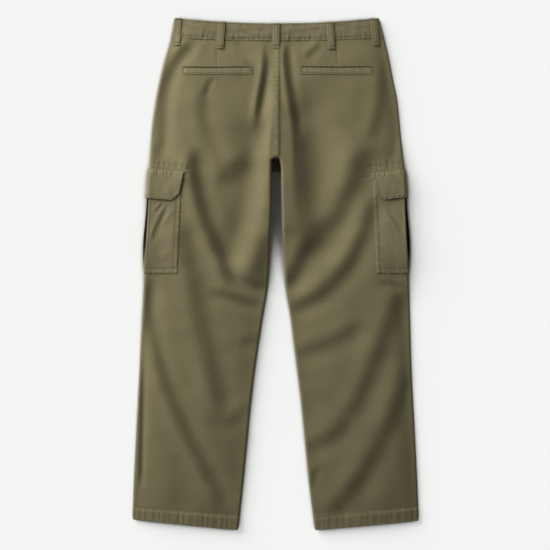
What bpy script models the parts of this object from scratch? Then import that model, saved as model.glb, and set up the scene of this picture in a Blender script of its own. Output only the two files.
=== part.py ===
"""Cargo pants lying flat with the back side up: front panels on the surface, back panels over them.

Sizes are in millimetres here and become metres in make_object. The waist points to +Y, the back of the
garment to +Z, and the origin lies under the middle of the garment on the surface that it rests on.
Each leg is a tube: the back panel rolls over both edges and laps over the flat front panel.
"""

import math

import bmesh
import bpy
import numpy as np

MM = 0.001

# Cloth walls and seams
CLOTH = 1.2
BAND_CLOTH = 2.4
HEM_CLOTH = 2.4
FLAP_CLOTH = 1.6
LOOP_CLOTH = 1.8
SEAM_GAP = 0.3
LAY_GAP = 0.5

# Rolled edges of the legs and the lap of the back panel over the front panel
ROLL_WIDTH = 5.5
ROLL_HEIGHT = 5.2
ROLL_ANGLES = (-90.0, -45.0, 0.0, 45.0)
LAP = 9.0
SWELL_LENGTH = 24.0
FOLD_HEIGHT = 18.0
LEAST_SHARE = 0.55
MOST_SHARE = 1.5
FLANGE_DROPS = (1.6, 3.2, 4.8, 6.4, 8.0)
CENTRE_X = 2.0

# Levels, as the outer edge's distance from the middle of the garment along Y
WAIST_Y = 535.0
BAND_MIDDLE_Y = 513.7
BAND_LOW_Y = 492.4
CROTCH_HIGH_Y = 252.0
CROTCH_LOW_Y = 234.0
FRONT_CROTCH_Y = 213.2
HEM_FOLD_Y = -486.5
HEM_HIGH_Y = -489.0
FRONT_DROP = 10.0
FRONT_HEM_RISE = 3.0

# One row for each level of a leg's outline; loft is how far the cloth swells above its rolled edges
OUTLINE_COLUMNS = ("outer_x", "outer_y", "inner_x", "inner_y", "loft")
OUTLINES = {
    "left": (
        (-211.2, 535.0, 1.85, 522.5, 2.5),
        (-218.5, 492.4, 1.85, 485.1, 4.0),
        (-231.0, 447.3, 1.85, 443.1, 7.0),
        (-241.5, 405.5, 1.85, 401.8, 9.0),
        (-249.9, 363.7, 1.85, 360.5, 10.0),
        (-258.2, 301.0, 1.85, 298.9, 10.0),
        (-261.8, 247.7, 1.60, 246.6, 9.5),
        (-262.4, 238.3, -6.8, 238.3, 9.5),
        (-263.2, 221.5, -7.6, 221.5, 9.0),
        (-266.6, 154.7, -8.0, 154.7, 9.0),
        (-270.8, 71.1, -11.6, 71.1, 9.0),
        (-274.9, -14.6, -15.8, -14.6, 8.5),
        (-279.1, -96.1, -28.3, -96.1, 8.0),
        (-283.3, -179.7, -40.9, -179.7, 7.5),
        (-287.5, -263.3, -51.3, -263.3, 7.0),
        (-291.7, -346.9, -59.7, -349.0, 6.5),
        (-295.8, -430.5, -68.4, -438.9, 5.5),
        (-299.0, -513.1, -78.5, -535.0, 4.0),
    ),
    "right": (
        (216.2, 535.0, 2.15, 522.5, 2.5),
        (226.7, 492.4, 2.15, 485.1, 4.0),
        (237.1, 447.3, 2.15, 443.1, 7.0),
        (245.5, 405.5, 2.15, 401.8, 9.0),
        (253.8, 363.7, 2.15, 360.5, 10.0),
        (260.1, 301.0, 2.15, 298.9, 10.0),
        (265.3, 247.7, 2.40, 246.6, 9.5),
        (266.4, 238.3, 7.2, 238.3, 9.5),
        (267.8, 221.5, 11.0, 221.5, 9.0),
        (271.2, 154.7, 12.0, 154.7, 9.0),
        (274.7, 71.1, 14.7, 71.1, 9.0),
        (278.1, -14.6, 19.8, -14.6, 8.5),
        (281.0, -96.1, 32.3, -96.1, 8.0),
        (283.1, -179.7, 42.7, -179.7, 7.5),
        (287.3, -263.3, 53.2, -263.3, 7.0),
        (291.5, -346.9, 61.6, -349.0, 6.5),
        (295.6, -430.5, 70.5, -438.9, 5.5),
        (299.0, -515.8, 82.5, -535.0, 4.0),
    ),
}

# One row for each fold: its ends, its bow at a third and two thirds, its half width and its depth
FOLD_COLUMNS = ("start_x", "start_y", "end_x", "end_y", "bow_1", "bow_2", "width", "depth")
FOLDS = (
    (-175, 483, -237, 222, -32, -4, 9, -4.5),
    (-133, 410, -112, 238, -22, -26, 12, -2.5),
    (-28, 479, -41, 295, 13, -7, 8, -4.5),
    (-14, 468, -20, 255, 5, 8, 9, 3.0),
    (-37, 249, -104, 190, -5, 6, 14, -3.5),
    (18, 479, 49, 284, -2, -4, 8, -4.5),
    (34, 468, 53, 385, -1, 0, 8, 2.0),
    (26, 301, 82, 102, -1, 4, 20, -3.5),
    (225, 416, 202, 270, 5, 4, 9, -3.5),
    (-16, 259, -78, 36, -10, 10, 16, 3.5),
    (-179, 259, -68, -23, 0, -18, 9, -6.0),
    (-129, -27, -32, -73, 0, 0, 10, -3.5),
    (-191, 82, -85, -336, -6, -7, 10, -5.5),
    (-267, -23, -104, -487, -22, -3, 10, -5.0),
    (-99, -316, -53, -272, 0, 1, 10, -2.5),
    (189, 259, 26, -19, 13, 15, 11, -6.0),
    (145, 280, 64, 71, 22, 18, 14, 3.0),
    (202, 176, 51, -33, 7, 24, 9, 3.5),
    (202, 144, 26, -73, 21, 33, 9, -6.0),
    (160, -96, 43, -176, 12, -2, 10, -4.0),
    (264, -2, 68, -380, 0, 42, 10, -6.0),
    (285, -190, 105, -502, 20, 27, 10, -5.5),
    (252, -222, 89, -487, 11, 7, 13, 3.0),
)
FOLD_SAMPLES = 41
BOW_SCALE = 6.75
FOLD_FADE = 0.22
SHOULDER_SHARE = 0.22
SHOULDER_PLACE = 2.3
SHOULDER_WIDTH = 1.4

# Lift of the front panels over what lies between them and the surface (level, lift)
WAIST_LIFT = ((535.0, 1.9), (450.0, 1.9), (400.0, 0.0), (-600.0, 0.0))
POCKET_LIFT = ((238.3, 0.0), (225.7, 3.4), (146.3, 3.4), (129.6, 1.5), (-6.3, 1.5), (-25.0, 0.0))
POCKET_LIFT_FULL = 95.0
POCKET_LIFT_NONE = 125.0

# The same lifts as the cloth on top smooths them out (level, lift)
TOP_WAIST_LIFT = ((600.0, 1.9), (470.0, 1.9), (360.0, 0.0), (-600.0, 0.0))
TOP_POCKET_LIFT = (
    (600.0, 0.0),
    (310.0, 0.0),
    (215.0, 3.4),
    (155.0, 3.2),
    (0.0, 1.5),
    (-80.0, 0.0),
    (-600.0, 0.0),
)
TOP_LIFT_FULL = 50.0
TOP_LIFT_NONE = 180.0

# Levels of the panels' cross sections: seat, crotch, thigh, shin and hem
SEAT_ROWS = (492.1, 471.0, 450.0, 425.0, 400.0, 374.0, 348.0, 322.0, 296.0, 274.0)
CROTCH_ROWS = (256.0, 247.7, 243.0, 238.3, 225.7, 214.4, 212.0)
THIGH_ROWS = (186.0, 146.3, 129.6, 103.0, 76.0, 49.0, 22.0, -6.3, -25.0)
SHIN_ROWS = tuple(np.linspace(-52.0, -459.0, 15))
HEM_ROWS = (HEM_FOLD_Y, HEM_HIGH_Y)
FRONT_ROWS = (
    (492.1, 450.0, 400.0, 322.0, 238.3, 225.7, 214.4, 212.0, 146.3, 129.6, -6.3, -25.0)
    + (-120.0, -220.0, -320.0, -410.0)
    + HEM_ROWS
)
TOP_SHARES = tuple(np.linspace(0.0, 1.0, 17))
FRONT_EDGE = 6.4
DROP_START = 20.0

# Waistband
BAND_PROUD = 0.6
BAND_FLAT_SHARE = 0.35
BUTTON_SLOPE_SHARE = 2.2
BAND_OVERLAP = 22.0
BUTTON_LIFT = 3.3
BUTTON_LIFT_HALF = 30.0
UPPER_END_LIFT = 6.0

# Belt loops: x at the top and at the bottom, level at the bottom, of the loop's middle line
LOOP_WIDTH = 15.0
LOOP_SEGMENTS = 5
LOOP_LIFT = BAND_PROUD + 0.8
LOOP_BULGE = 0.5
LOOP_INSET = 0.4
BACK_LOOPS = (
    ("loop_side_left", "left", -202.2, -206.5, 476.5),
    ("loop_back_left", "left", -111.0, -115.0, 469.0),
    ("loop_back_right", "right", 113.6, 117.0, 467.8),
    ("loop_side_right", "right", 204.6, 210.5, 476.5),
)
CENTRE_LOOP_BOTTOM = 469.4
FRONT_LOOPS = (("loop_front_left", "left", 108.0), ("loop_front_right", "right", 108.0))
FRONT_LOOP_LENGTH = 56.0
FRONT_LOOP_CLOTH = 1.4

# Back pocket welts: ends along x, upper and lower level
WELTS = (
    ("welt_left", "left", -195.5, -48.2, 432.2, 415.7),
    ("welt_right", "right", 51.7, 202.4, 433.0, 415.7),
)
WELT_COLUMNS = 11
WELT_ROWS = 3

# Cargo pockets, from the picture side's free edge round the leg's side to the hidden edge
POCKET_ROWS = (204.8, 184.0, 165.0, 146.3, 129.6, 101.0, 71.0, 42.0, 17.0, 1.5)
POCKET_STANDOFF = (1.0, 1.1, 1.1, 1.3, 2.0, 3.4, 4.6, 4.0, 2.0, 0.7)
POCKET_REACH = 66.5
POCKET_OVER_PLACES = (52.0, 38.0, 24.0)
POCKET_UNDER_PLACE = -34.0
PLEAT_PLACE = 3.5
PLEAT_CLEAR = 0.15
PLEAT_HALF = 3.2
FLAP_SHARES = (0.0, 0.16, 0.5, 0.8, 1.0)
FLAP_COLUMNS = (1.0, 0.77, 0.58, 0.4, 0.24)
FLAP_TOP_Y = 219.8
FLAP_TOP_TILT = -6.2
FLAP_HEIGHT = 62.0
FLAP_REACH_TOP = 71.0
FLAP_REACH_LOW = 62.0
FLAP_CLIP_RISE = 14.0

# Closure at centre front
ZIP_TAPE_WIDTH = 30.0
ZIP_TAPE_CLOTH = 1.0
ZIP_LENGTH = 164.0
FLY_SHIELD_WIDTH = 42.0
FLY_SHIELD_LENGTH = 178.0
SLIDER_THICK = 2.4
SLIDER_CLEAR = 2.9
SLIDER_ROOM = 42.0
SLIDER_SLOPE = 20.0
SLIDER_TOP = 1.5
SLIDER_BODY = 13.0
SLIDER_CROWN = 0.4
TAB_SHARE = 0.6

# Slider and pull tab, as rows of the distance from the top and the half width there
SLIDER_OUTLINE = (
    (0.0, 3.0),
    (2.5, 4.6),
    (8.0, 4.2),
    (12.0, 2.6),
    (15.0, 2.2),
    (17.0, 3.0),
    (34.0, 3.4),
    (37.0, 2.0),
)

# Turned profile of the button, as rows of radius and height, from the middle of its face round its rim
BUTTON_PROFILE = (
    (0.0, 0.7),
    (5.8, 0.7),
    (6.4, 0.0),
    (7.9, 0.0),
    (8.5, 0.6),
    (8.5, 2.3),
    (7.9, 3.0),
    (0.0, 3.0),
)
BUTTON_SIDES = 20

MATERIALS = {
    "twill": ((0.151, 0.130, 0.067), 0.92, 0.0),
    "band_twill": ((0.147, 0.127, 0.066), 0.92, 0.0),
    "pocket_twill": ((0.153, 0.133, 0.069), 0.92, 0.0),
    "tape_cloth": ((0.120, 0.105, 0.058), 0.9, 0.0),
    "brass": ((0.55, 0.42, 0.20), 0.35, 1.0),
    "button_plastic": ((0.085, 0.074, 0.042), 0.45, 0.0),
}


def monotone(xs, ys, x):
    """Value at x of the curve through (xs, ys), which never overshoots its points; xs rises."""
    xs = np.asarray(xs, float)
    ys = np.asarray(ys, float)
    step = np.diff(xs)
    slope = np.diff(ys) / step
    tangent = np.zeros(len(xs))
    tangent[0], tangent[-1] = slope[0], slope[-1]
    for i in range(1, len(xs) - 1):
        if slope[i - 1] * slope[i] > 0:
            tangent[i] = 2.0 * slope[i - 1] * slope[i] / (slope[i - 1] + slope[i])
    x = np.clip(x, xs[0], xs[-1])
    i = np.clip(np.searchsorted(xs, x, side="right") - 1, 0, len(step) - 1)
    t = (x - xs[i]) / step[i]
    first = ys[i] * (1 + 2 * t) * (1 - t) ** 2 + ys[i + 1] * t * t * (3 - 2 * t)
    return first + step[i] * (tangent[i] * t * (1 - t) ** 2 - tangent[i + 1] * t * t * (1 - t))


def outline(side, name, y):
    """Outline value at the level whose outer end is y."""
    table = np.array(OUTLINES[side])[::-1]
    return monotone(table[:, 1], table[:, OUTLINE_COLUMNS.index(name)], y)


def stepped(table, y):
    """Straight-line value at level y of a table of (level, value) rows from high to low."""
    levels, values = np.array(table)[::-1].T
    return np.interp(y, levels, values)


def smoothstep(t):
    t = np.clip(t, 0.0, 1.0)
    return t * t * (3 - 2 * t)


def fold_path(fold):
    """Points along one fold's middle line."""
    start = np.array((fold["start_x"], fold["start_y"]), float)
    end = np.array((fold["end_x"], fold["end_y"]), float)
    chord = end - start
    across = np.array((-chord[1], chord[0])) / np.hypot(*chord)
    t = np.linspace(0.0, 1.0, FOLD_SAMPLES)[:, None]
    bow = BOW_SCALE * (fold["bow_1"] * t * (1 - t) ** 2 + fold["bow_2"] * t * t * (1 - t))
    return start + chord * t + across * bow


def fold_share(x, y):
    """How much of its height the cloth keeps at (x, y), above 1 on a ridge and below 1 in a trough."""
    x = np.asarray(x, float)
    y = np.asarray(y, float)
    depth = np.zeros(x.shape)
    for row in FOLDS:
        fold = dict(zip(FOLD_COLUMNS, row))
        path = fold_path(fold)
        gaps = np.hypot(x[..., None] - path[:, 0], y[..., None] - path[:, 1])
        nearest = gaps.argmin(axis=-1)
        gap = gaps.min(axis=-1) / fold["width"]
        t = nearest / (FOLD_SAMPLES - 1)
        fade = smoothstep(t / FOLD_FADE) * smoothstep((1 - t) / FOLD_FADE)
        shoulder = SHOULDER_SHARE * np.exp(-0.5 * ((gap - SHOULDER_PLACE) / SHOULDER_WIDTH) ** 2)
        depth += fold["depth"] * fade * (np.exp(-0.5 * gap * gap) - shoulder)
    return np.clip(1.0 + depth / FOLD_HEIGHT, LEAST_SHARE, MOST_SHARE)


def inward(side):
    """Direction along X from a leg's outer edge to its inner edge."""
    return 1.0 if side == "left" else -1.0


def leg_share(y):
    """0 in the seat, where the panel ends at the centre-back seam, and 1 where the leg has an inner edge."""
    return smoothstep((CROTCH_HIGH_Y - y) / (CROTCH_HIGH_Y - CROTCH_LOW_Y))


def hem_share(y):
    return np.clip((HEM_FOLD_Y - y) / (HEM_FOLD_Y - HEM_HIGH_Y), 0.0, 1.0)


def cloth_at(y):
    """Wall of a panel: one layer, and the turned-up layers at the hem."""
    return CLOTH + (HEM_CLOTH - CLOTH) * hem_share(y)


def floor_lift(y, from_outer):
    """Height of the front panel's underside."""
    share = np.interp(from_outer, (POCKET_LIFT_FULL, POCKET_LIFT_NONE), (1.0, 0.0))
    return stepped(WAIST_LIFT, y) + stepped(POCKET_LIFT, y) * share


def top_lift(y, from_outer):
    """Height that what lies under the garment adds to its back."""
    waist = np.array(TOP_WAIST_LIFT)[::-1]
    pocket = np.array(TOP_POCKET_LIFT)[::-1]
    share = smoothstep((TOP_LIFT_NONE - from_outer) / (TOP_LIFT_NONE - TOP_LIFT_FULL))
    return monotone(waist[:, 0], waist[:, 1], y) + monotone(pocket[:, 0], pocket[:, 1], y) * share


def swell(distance):
    """Rise of the cloth away from a rolled edge, level where it leaves the roll."""
    return 1.0 - 1.0 / (1.0 + (distance / SWELL_LENGTH) ** 2)


def top_section(side, y):
    """Points on the outside of the back, across the level y, from the outer roll's top to the inner one's."""
    outer_x, inner_x = outline(side, "outer_x", y), outline(side, "inner_x", y)
    inner_y = outline(side, "inner_y", y)
    share = leg_share(y)
    width = abs(inner_x - outer_x)
    reach = ROLL_WIDTH + np.array(TOP_SHARES) * (width - ROLL_WIDTH * (1.0 + share))
    x = outer_x + inward(side) * reach
    along = y + (inner_y - y) * reach / width
    base = top_lift(y, reach) + cloth_at(y) + SEAM_GAP
    edge = 1.0 - share + share * swell(width - reach - ROLL_WIDTH)
    rise = 2.0 * ROLL_HEIGHT + outline(side, "loft", y) * swell(reach - ROLL_WIDTH) * edge
    return np.column_stack((x, along, base + rise * fold_share(x, along)))


def back_section(side, y):
    """Outside of the back panel across the level y, from the outer lap over the top to the inner lap."""
    way = inward(side)
    outer_x, inner_x = outline(side, "outer_x", y), outline(side, "inner_x", y)
    inner_y = outline(side, "inner_y", y)
    slope = (inner_y - y) / abs(inner_x - outer_x)
    top = top_section(side, y)
    base = floor_lift(y, 0.0) + cloth_at(y) + SEAM_GAP
    points = [(outer_x + way * (ROLL_WIDTH + LAP), y + slope * (ROLL_WIDTH + LAP), base)]
    half = (top[0, 2] - base) / 2.0
    for angle in ROLL_ANGLES:
        turn = math.radians(angle)
        reach = ROLL_WIDTH * (1.0 - math.cos(turn))
        points.append((outer_x + way * reach, y + slope * reach, base + half * (1.0 + math.sin(turn))))
    points += [tuple(p) for p in top]
    share = leg_share(y)
    inner_base = floor_lift(y, POCKET_LIFT_NONE) + cloth_at(y) + SEAM_GAP
    inner_half = (top[-1, 2] - inner_base) / 2.0
    rolled = []
    for angle in reversed(ROLL_ANGLES):
        turn = math.radians(angle)
        reach = ROLL_WIDTH * (1.0 - math.cos(turn))
        rolled.append((reach, inner_base + inner_half * (1.0 + math.sin(turn))))
    rolled.append((ROLL_WIDTH + LAP, inner_base))
    for (reach, roll_z), drop in zip(rolled, FLANGE_DROPS):
        z = share * roll_z + (1.0 - share) * (top[-1, 2] - drop)
        points.append((inner_x - way * share * reach, inner_y - slope * share * reach, z))
    return np.array(points)


def hem_y(side):
    return OUTLINES[side][-1][1]


def back_rows(side):
    return SEAT_ROWS + CROTCH_ROWS + THIGH_ROWS + SHIN_ROWS + HEM_ROWS + (hem_y(side),)


def section_normals(points, turn):
    """Mitred unit directions, in the section's plane, out of a run of points; turn is the outward side."""
    step = np.diff(points[:, (0, 2)], axis=0)
    step /= np.linalg.norm(step, axis=1)[:, None]
    out = turn * np.column_stack((-step[:, 1], step[:, 0]))
    before = np.vstack((out[:1], out))
    after = np.vstack((out, out[-1:]))
    blend = (before + after) / np.maximum(1.0 + (before * after).sum(axis=1), 0.7)[:, None]
    return np.column_stack((blend[:, 0], np.zeros(len(blend)), blend[:, 1]))


def make_object(name, points, faces, material):
    """A closed mesh object from points in millimetres."""
    mesh = bpy.data.meshes.new(name)
    mesh.from_pydata([tuple(p * MM) for p in np.asarray(points, float)], [], faces)
    shape = bmesh.new()
    shape.from_mesh(mesh)
    bmesh.ops.recalc_face_normals(shape, faces=shape.faces)
    if shape.calc_volume(signed=True) < 0:
        bmesh.ops.reverse_faces(shape, faces=shape.faces)
    shape.to_mesh(mesh)
    shape.free()
    mesh.materials.append(MATERIAL_DATA[material])
    made = bpy.data.objects.new(name, mesh)
    bpy.context.scene.collection.objects.link(made)
    return made


def make_wall(name, outside, inside, material):
    """A closed wall between two grids of points of the same shape."""
    outside = np.asarray(outside, float)
    inside = np.asarray(inside, float)
    rows, columns = outside.shape[:2]
    count = rows * columns
    points = np.vstack((outside.reshape(-1, 3), inside.reshape(-1, 3)))
    faces = []
    for i in range(rows - 1):
        for j in range(columns - 1):
            a = i * columns + j
            corners = (a, a + 1, a + columns + 1, a + columns)
            faces.append(corners)
            faces.append(tuple(count + c for c in reversed(corners)))
    ring = [j for j in range(columns)]
    ring += [i * columns + columns - 1 for i in range(1, rows)]
    ring += [(rows - 1) * columns + j for j in range(columns - 2, -1, -1)]
    ring += [i * columns for i in range(rows - 2, 0, -1)]
    for a, b in zip(ring, ring[1:] + ring[:1]):
        faces.append((b, a, count + a, count + b))
    return make_object(name, points, faces, material)


def wall_inside(sections, turn, cloth):
    """The inner points of a wall whose outer sections are given; cloth is one wall for each section."""
    inside = []
    for points, wall in zip(sections, cloth):
        inside.append(points - section_normals(points, turn) * wall)
    return inside


def make_back(side):
    rows = back_rows(side)
    sections = [back_section(side, y) for y in rows]
    inside = wall_inside(sections, inward(side), [cloth_at(y) for y in rows])
    return make_wall("back_" + side, sections, inside, "twill")


def front_drop(reach, width):
    """How much lower than the back the front's waist edge lies, from nothing near the side."""
    return FRONT_DROP * np.clip((reach - DROP_START) / (width - DROP_START), 0.0, 1.0)


def front_section(side, y):
    """Underside of the front panel across the level y."""
    way = inward(side)
    outer_x, inner_x = outline(side, "outer_x", y), outline(side, "inner_x", y)
    inner_y = outline(side, "inner_y", y)
    last = inner_x - way * FRONT_EDGE
    if y > FRONT_CROTCH_Y:
        last = CENTRE_X - way * SEAM_GAP / 2.0
    width = abs(last - outer_x)
    reach = np.array((FRONT_EDGE, DROP_START, POCKET_LIFT_FULL, POCKET_LIFT_NONE, 0.7 * width, width))
    drop = front_drop(reach, width) if y > BAND_LOW_Y - 1.0 else 0.0
    rise = FRONT_HEM_RISE if y <= hem_y(side) else 0.0
    along = y + (inner_y - y) * reach / abs(inner_x - outer_x) - drop + rise
    return np.column_stack((outer_x + way * reach, along, floor_lift(y, reach)))


def make_front(side):
    rows = FRONT_ROWS + (hem_y(side),)
    under = np.array([front_section(side, y) for y in rows])
    over = under.copy()
    over[:, :, 2] += np.array([cloth_at(y) for y in rows])[:, None]
    return make_wall("front_" + side, under, over, "twill")


def band_side(side, y):
    """Outside of half the waistband at the level y, from the centre front round the side to the centre back."""
    way = inward(side)
    outer_x = outline(side, "outer_x", y)
    inner_y = outline(side, "inner_y", y)
    width = abs(CENTRE_X - outer_x)
    slope = (inner_y - y) / width
    floor = stepped(WAIST_LIFT, y)
    end_lift = BUTTON_LIFT if side == "left" else UPPER_END_LIFT
    low = []
    for reach, lift in (
        (width + BAND_OVERLAP, end_lift),
        (width - BUTTON_LIFT_HALF, end_lift),
        (width - BUTTON_SLOPE_SHARE * BUTTON_LIFT_HALF, floor),
        (BAND_FLAT_SHARE * width, floor),
        (DROP_START, floor),
    ):
        along = y + slope * min(reach, width) - front_drop(reach, width)
        low.append((outer_x + way * reach, along, lift))
    top = top_section(side, y)
    top[:, 2] += BAND_PROUD
    half = (top[0, 2] - floor) / 2.0
    roll = []
    for angle in ROLL_ANGLES:
        turn = math.radians(angle)
        reach = ROLL_WIDTH * (1.0 - math.cos(turn))
        roll.append((outer_x + way * reach, y + slope * reach, floor + half * (1.0 + math.sin(turn))))
    return np.vstack((low, roll, top))


def make_waistband():
    """One strip from the button end on the left round the back to the other end above it."""
    sections = []
    for y in (WAIST_Y, BAND_MIDDLE_Y, BAND_LOW_Y):
        left = band_side("left", y)
        right = band_side("right", y)[::-1]
        middle = (left[-1:] + right[:1]) / 2.0
        sections.append(np.vstack((left[:-1], middle, right[1:])))
    inside = wall_inside(sections, 1.0, [BAND_CLOTH] * 3)
    return make_wall("waistband", sections, inside, "band_twill")


def panel_rows(side):
    return (WAIST_Y, BAND_MIDDLE_Y, BAND_LOW_Y) + back_rows(side)


def build_surfaces():
    """The levels and the visible run of each back panel's points, for what is laid on it."""
    surfaces = {}
    for side in OUTLINES:
        rows = np.array(panel_rows(side))
        hidden = ROLL_ANGLES.index(0.0) + 1
        runs = []
        for y in rows:
            runs.append(back_section(side, y)[hidden : -len(FLANGE_DROPS)])
        surfaces[side] = (rows, runs)
    return surfaces


def level_of(side, x, y):
    """The outer level of the section that passes through (x, y)."""
    level = y
    for _ in range(6):
        outer_x, inner_x = outline(side, "outer_x", level), outline(side, "inner_x", level)
        share = (x - outer_x) / (inner_x - outer_x)
        level = y - (outline(side, "inner_y", level) - level) * share
    return level


def panel_height(side, x, y):
    """Height of the back panel's own faces at (x, y)."""
    rows, runs = SURFACES[side]
    level = np.clip(level_of(side, x, y), rows[-1], rows[0])
    i = int(np.clip(np.searchsorted(-rows, -level, side="right") - 1, 0, len(rows) - 2))
    share = (rows[i] - level) / (rows[i] - rows[i + 1])
    heights = []
    for run in runs[i : i + 2]:
        run = run if side == "left" else run[::-1]
        heights.append(np.interp(x, run[:, 0], run[:, 2]))
    return heights[0] * (1 - share) + heights[1] * share


def make_loop(name, sides, top, bottom):
    """A belt loop laid over the waistband and the back from point top to point bottom; sides names the
    panels under its left edge and its right edge."""
    under = []
    for i in range(LOOP_SEGMENTS + 1):
        t = i / LOOP_SEGMENTS
        x = top[0] + (bottom[0] - top[0]) * t
        y = top[1] + (bottom[1] - top[1]) * t
        edges = (x - LOOP_WIDTH / 2.0, x, x + LOOP_WIDTH / 2.0)
        left = panel_height(sides[0], edges[0], y)
        right = panel_height(sides[1], edges[2], y)
        middle = max(panel_height(sides[0], x - SEAM_GAP, y), (left + right) / 2.0)
        lift = LOOP_LIFT + LOOP_BULGE * math.sin(math.pi * t)
        under.append([(e, y, h + lift) for e, h in zip(edges, (left, middle, right))])
    under = np.array(under)
    return make_wall(name, under + np.array((0.0, 0.0, LOOP_CLOTH)), under, "band_twill")


def make_back_loops():
    for name, side, top_x, bottom_x, bottom_y in BACK_LOOPS:
        outer_x = outline(side, "outer_x", WAIST_Y)
        share = (top_x - outer_x) / (CENTRE_X - outer_x)
        top_y = WAIST_Y + (outline(side, "inner_y", WAIST_Y) - WAIST_Y) * share - LOOP_INSET
        make_loop(name, (side, side), (top_x, top_y), (bottom_x, bottom_y))
    top = (CENTRE_X, outline("left", "inner_y", WAIST_Y) + LOOP_INSET)
    make_loop("loop_centre", ("left", "right"), top, (CENTRE_X, CENTRE_LOOP_BOTTOM))


def make_front_loops():
    """The two hidden loops, flat between the waistband and the surface."""
    for name, side, from_centre in FRONT_LOOPS:
        way = inward(side)
        x = CENTRE_X - way * from_centre
        share = 1.0 - from_centre / abs(CENTRE_X - outline(side, "outer_x", WAIST_Y))
        top_y = WAIST_Y + (outline(side, "inner_y", WAIST_Y) - WAIST_Y - FRONT_DROP) * share
        under = []
        for y in (top_y, top_y - FRONT_LOOP_LENGTH / 2.0, top_y - FRONT_LOOP_LENGTH):
            panel = floor_lift(y, POCKET_LIFT_NONE)
            height = min(panel, stepped(WAIST_LIFT, WAIST_Y)) - SEAM_GAP - FRONT_LOOP_CLOTH
            under.append([(x - LOOP_WIDTH / 2.0, y, height), (x + LOOP_WIDTH / 2.0, y, height)])
        under = np.array(under)
        make_wall(name, under, under + np.array((0.0, 0.0, FRONT_LOOP_CLOTH)), "band_twill")


def make_welts():
    for name, side, start_x, end_x, high_y, low_y in WELTS:
        columns = np.linspace(start_x, end_x, WELT_COLUMNS)
        under = []
        for y in np.linspace(high_y, low_y, WELT_ROWS):
            under.append([(x, y, panel_height(side, x, y) + LAY_GAP) for x in columns])
        under = np.array(under)
        make_wall(name, under + np.array((0.0, 0.0, CLOTH)), under, "pocket_twill")


def wrap_point(side, y, place, standoff):
    """Point at a standoff from the leg's outside; place runs from 0 on the outline, up over the back and,
    below 0, round to the front's underside. The quarter of the roll is as long as QUARTER."""
    way = inward(side)
    outer_x = outline(side, "outer_x", y)
    floor = floor_lift(y, 0.0)
    top = panel_height(side, outer_x + way * ROLL_WIDTH, y)
    half = (top - floor) / 2.0
    if place >= QUARTER:
        x = outer_x + way * (ROLL_WIDTH + place - QUARTER)
        return (x, y, panel_height(side, x, y) + standoff)
    if place <= -QUARTER:
        return (outer_x + way * (ROLL_WIDTH - place - QUARTER), y, floor - standoff)
    turn = math.pi / 2.0 * place / QUARTER
    reach = (ROLL_WIDTH + standoff) * math.cos(turn)
    return (outer_x + way * (ROLL_WIDTH - reach), y, floor + half + (half + standoff) * math.sin(turn))


def pocket_standoff(y, place):
    """Gap between the pocket bag and the leg: sewn flat at its free edges, swelled at the side."""
    full = stepped(tuple(zip(POCKET_ROWS, POCKET_STANDOFF)), y)
    if place <= -QUARTER:
        return SEAM_GAP
    if place < 0.0:
        return SEAM_GAP + (full - SEAM_GAP) * smoothstep(1.0 + place / QUARTER)
    return LAY_GAP + (full - LAY_GAP) * smoothstep((POCKET_REACH - place) / (POCKET_REACH - 1.2 * QUARTER))


def pocket_places():
    """Places of the bag's lengthwise lines, from its edge on the back round to its edge on the front."""
    pleat = QUARTER + PLEAT_PLACE
    over = (POCKET_REACH,) + POCKET_OVER_PLACES
    side = (pleat + PLEAT_HALF, pleat, pleat - PLEAT_HALF, 0.5 * QUARTER, 0.0, -0.5 * QUARTER)
    return over + side + (-QUARTER, POCKET_UNDER_PLACE, -POCKET_REACH)


def make_cargo_pocket(side):
    """The bag: a wall round the side of the leg with an inverted pleat."""
    places = pocket_places()
    pleat = QUARTER + PLEAT_PLACE
    outside, inside = [], []
    for y in POCKET_ROWS:
        opened = max(0.0, math.sin(math.pi * (POCKET_ROWS[0] - y) / (POCKET_ROWS[0] - POCKET_ROWS[-1])))
        outer_line, inner_line = [], []
        for place in places:
            gap = pocket_standoff(y, place)
            if place == pleat:
                closed = LAY_GAP + PLEAT_CLEAR
                gap = closed + (1.0 - opened) * (gap - closed)
            inner_line.append(wrap_point(side, y, place, gap))
            outer_line.append(wrap_point(side, y, place, gap + CLOTH))
        outside.append(outer_line)
        inside.append(inner_line)
    return make_wall("cargo_pocket_" + side, outside, inside, "pocket_twill")


def flap_line(place):
    """Upper and lower level of the flap at a place along it, mirrored at the side of the leg."""
    share = abs(place) / FLAP_REACH_TOP
    top = FLAP_TOP_Y + FLAP_TOP_TILT * share
    low = top - FLAP_HEIGHT
    return top, low


def make_cargo_flap(side):
    """The flap over the bag's mouth, with clipped corners at its free ends."""
    roll = QUARTER / FLAP_REACH_TOP
    columns = FLAP_COLUMNS + (roll, 0.5 * roll, 0.0)
    columns += tuple(-c for c in reversed(columns[:-1]))
    outside, inside = [], []
    for share in FLAP_SHARES:
        reach = FLAP_REACH_TOP + (FLAP_REACH_LOW - FLAP_REACH_TOP) * share
        outer_line, inner_line = [], []
        for column in columns:
            place = column * reach
            top, low = flap_line(place)
            if abs(column) == 1.0:
                low += FLAP_CLIP_RISE
            y = top + (low - top) * share
            bag = pocket_standoff(min(y, POCKET_ROWS[0]), max(place, -QUARTER)) + CLOTH + SEAM_GAP
            gap = bag
            flat = 2.0 * SEAM_GAP + CLOTH
            gap = LAY_GAP + (bag + SEAM_GAP - LAY_GAP) * smoothstep(share / FLAP_SHARES[1])
            if place < 0.0:
                gap = flat + (gap - flat) * smoothstep(1.0 + place / QUARTER)
            inner_line.append(wrap_point(side, y, place, gap))
            outer_line.append(wrap_point(side, y, place, gap + FLAP_CLOTH))
        outside.append(outer_line)
        inside.append(inner_line)
    return make_wall("cargo_flap_" + side, outside, inside, "pocket_twill")


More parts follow.
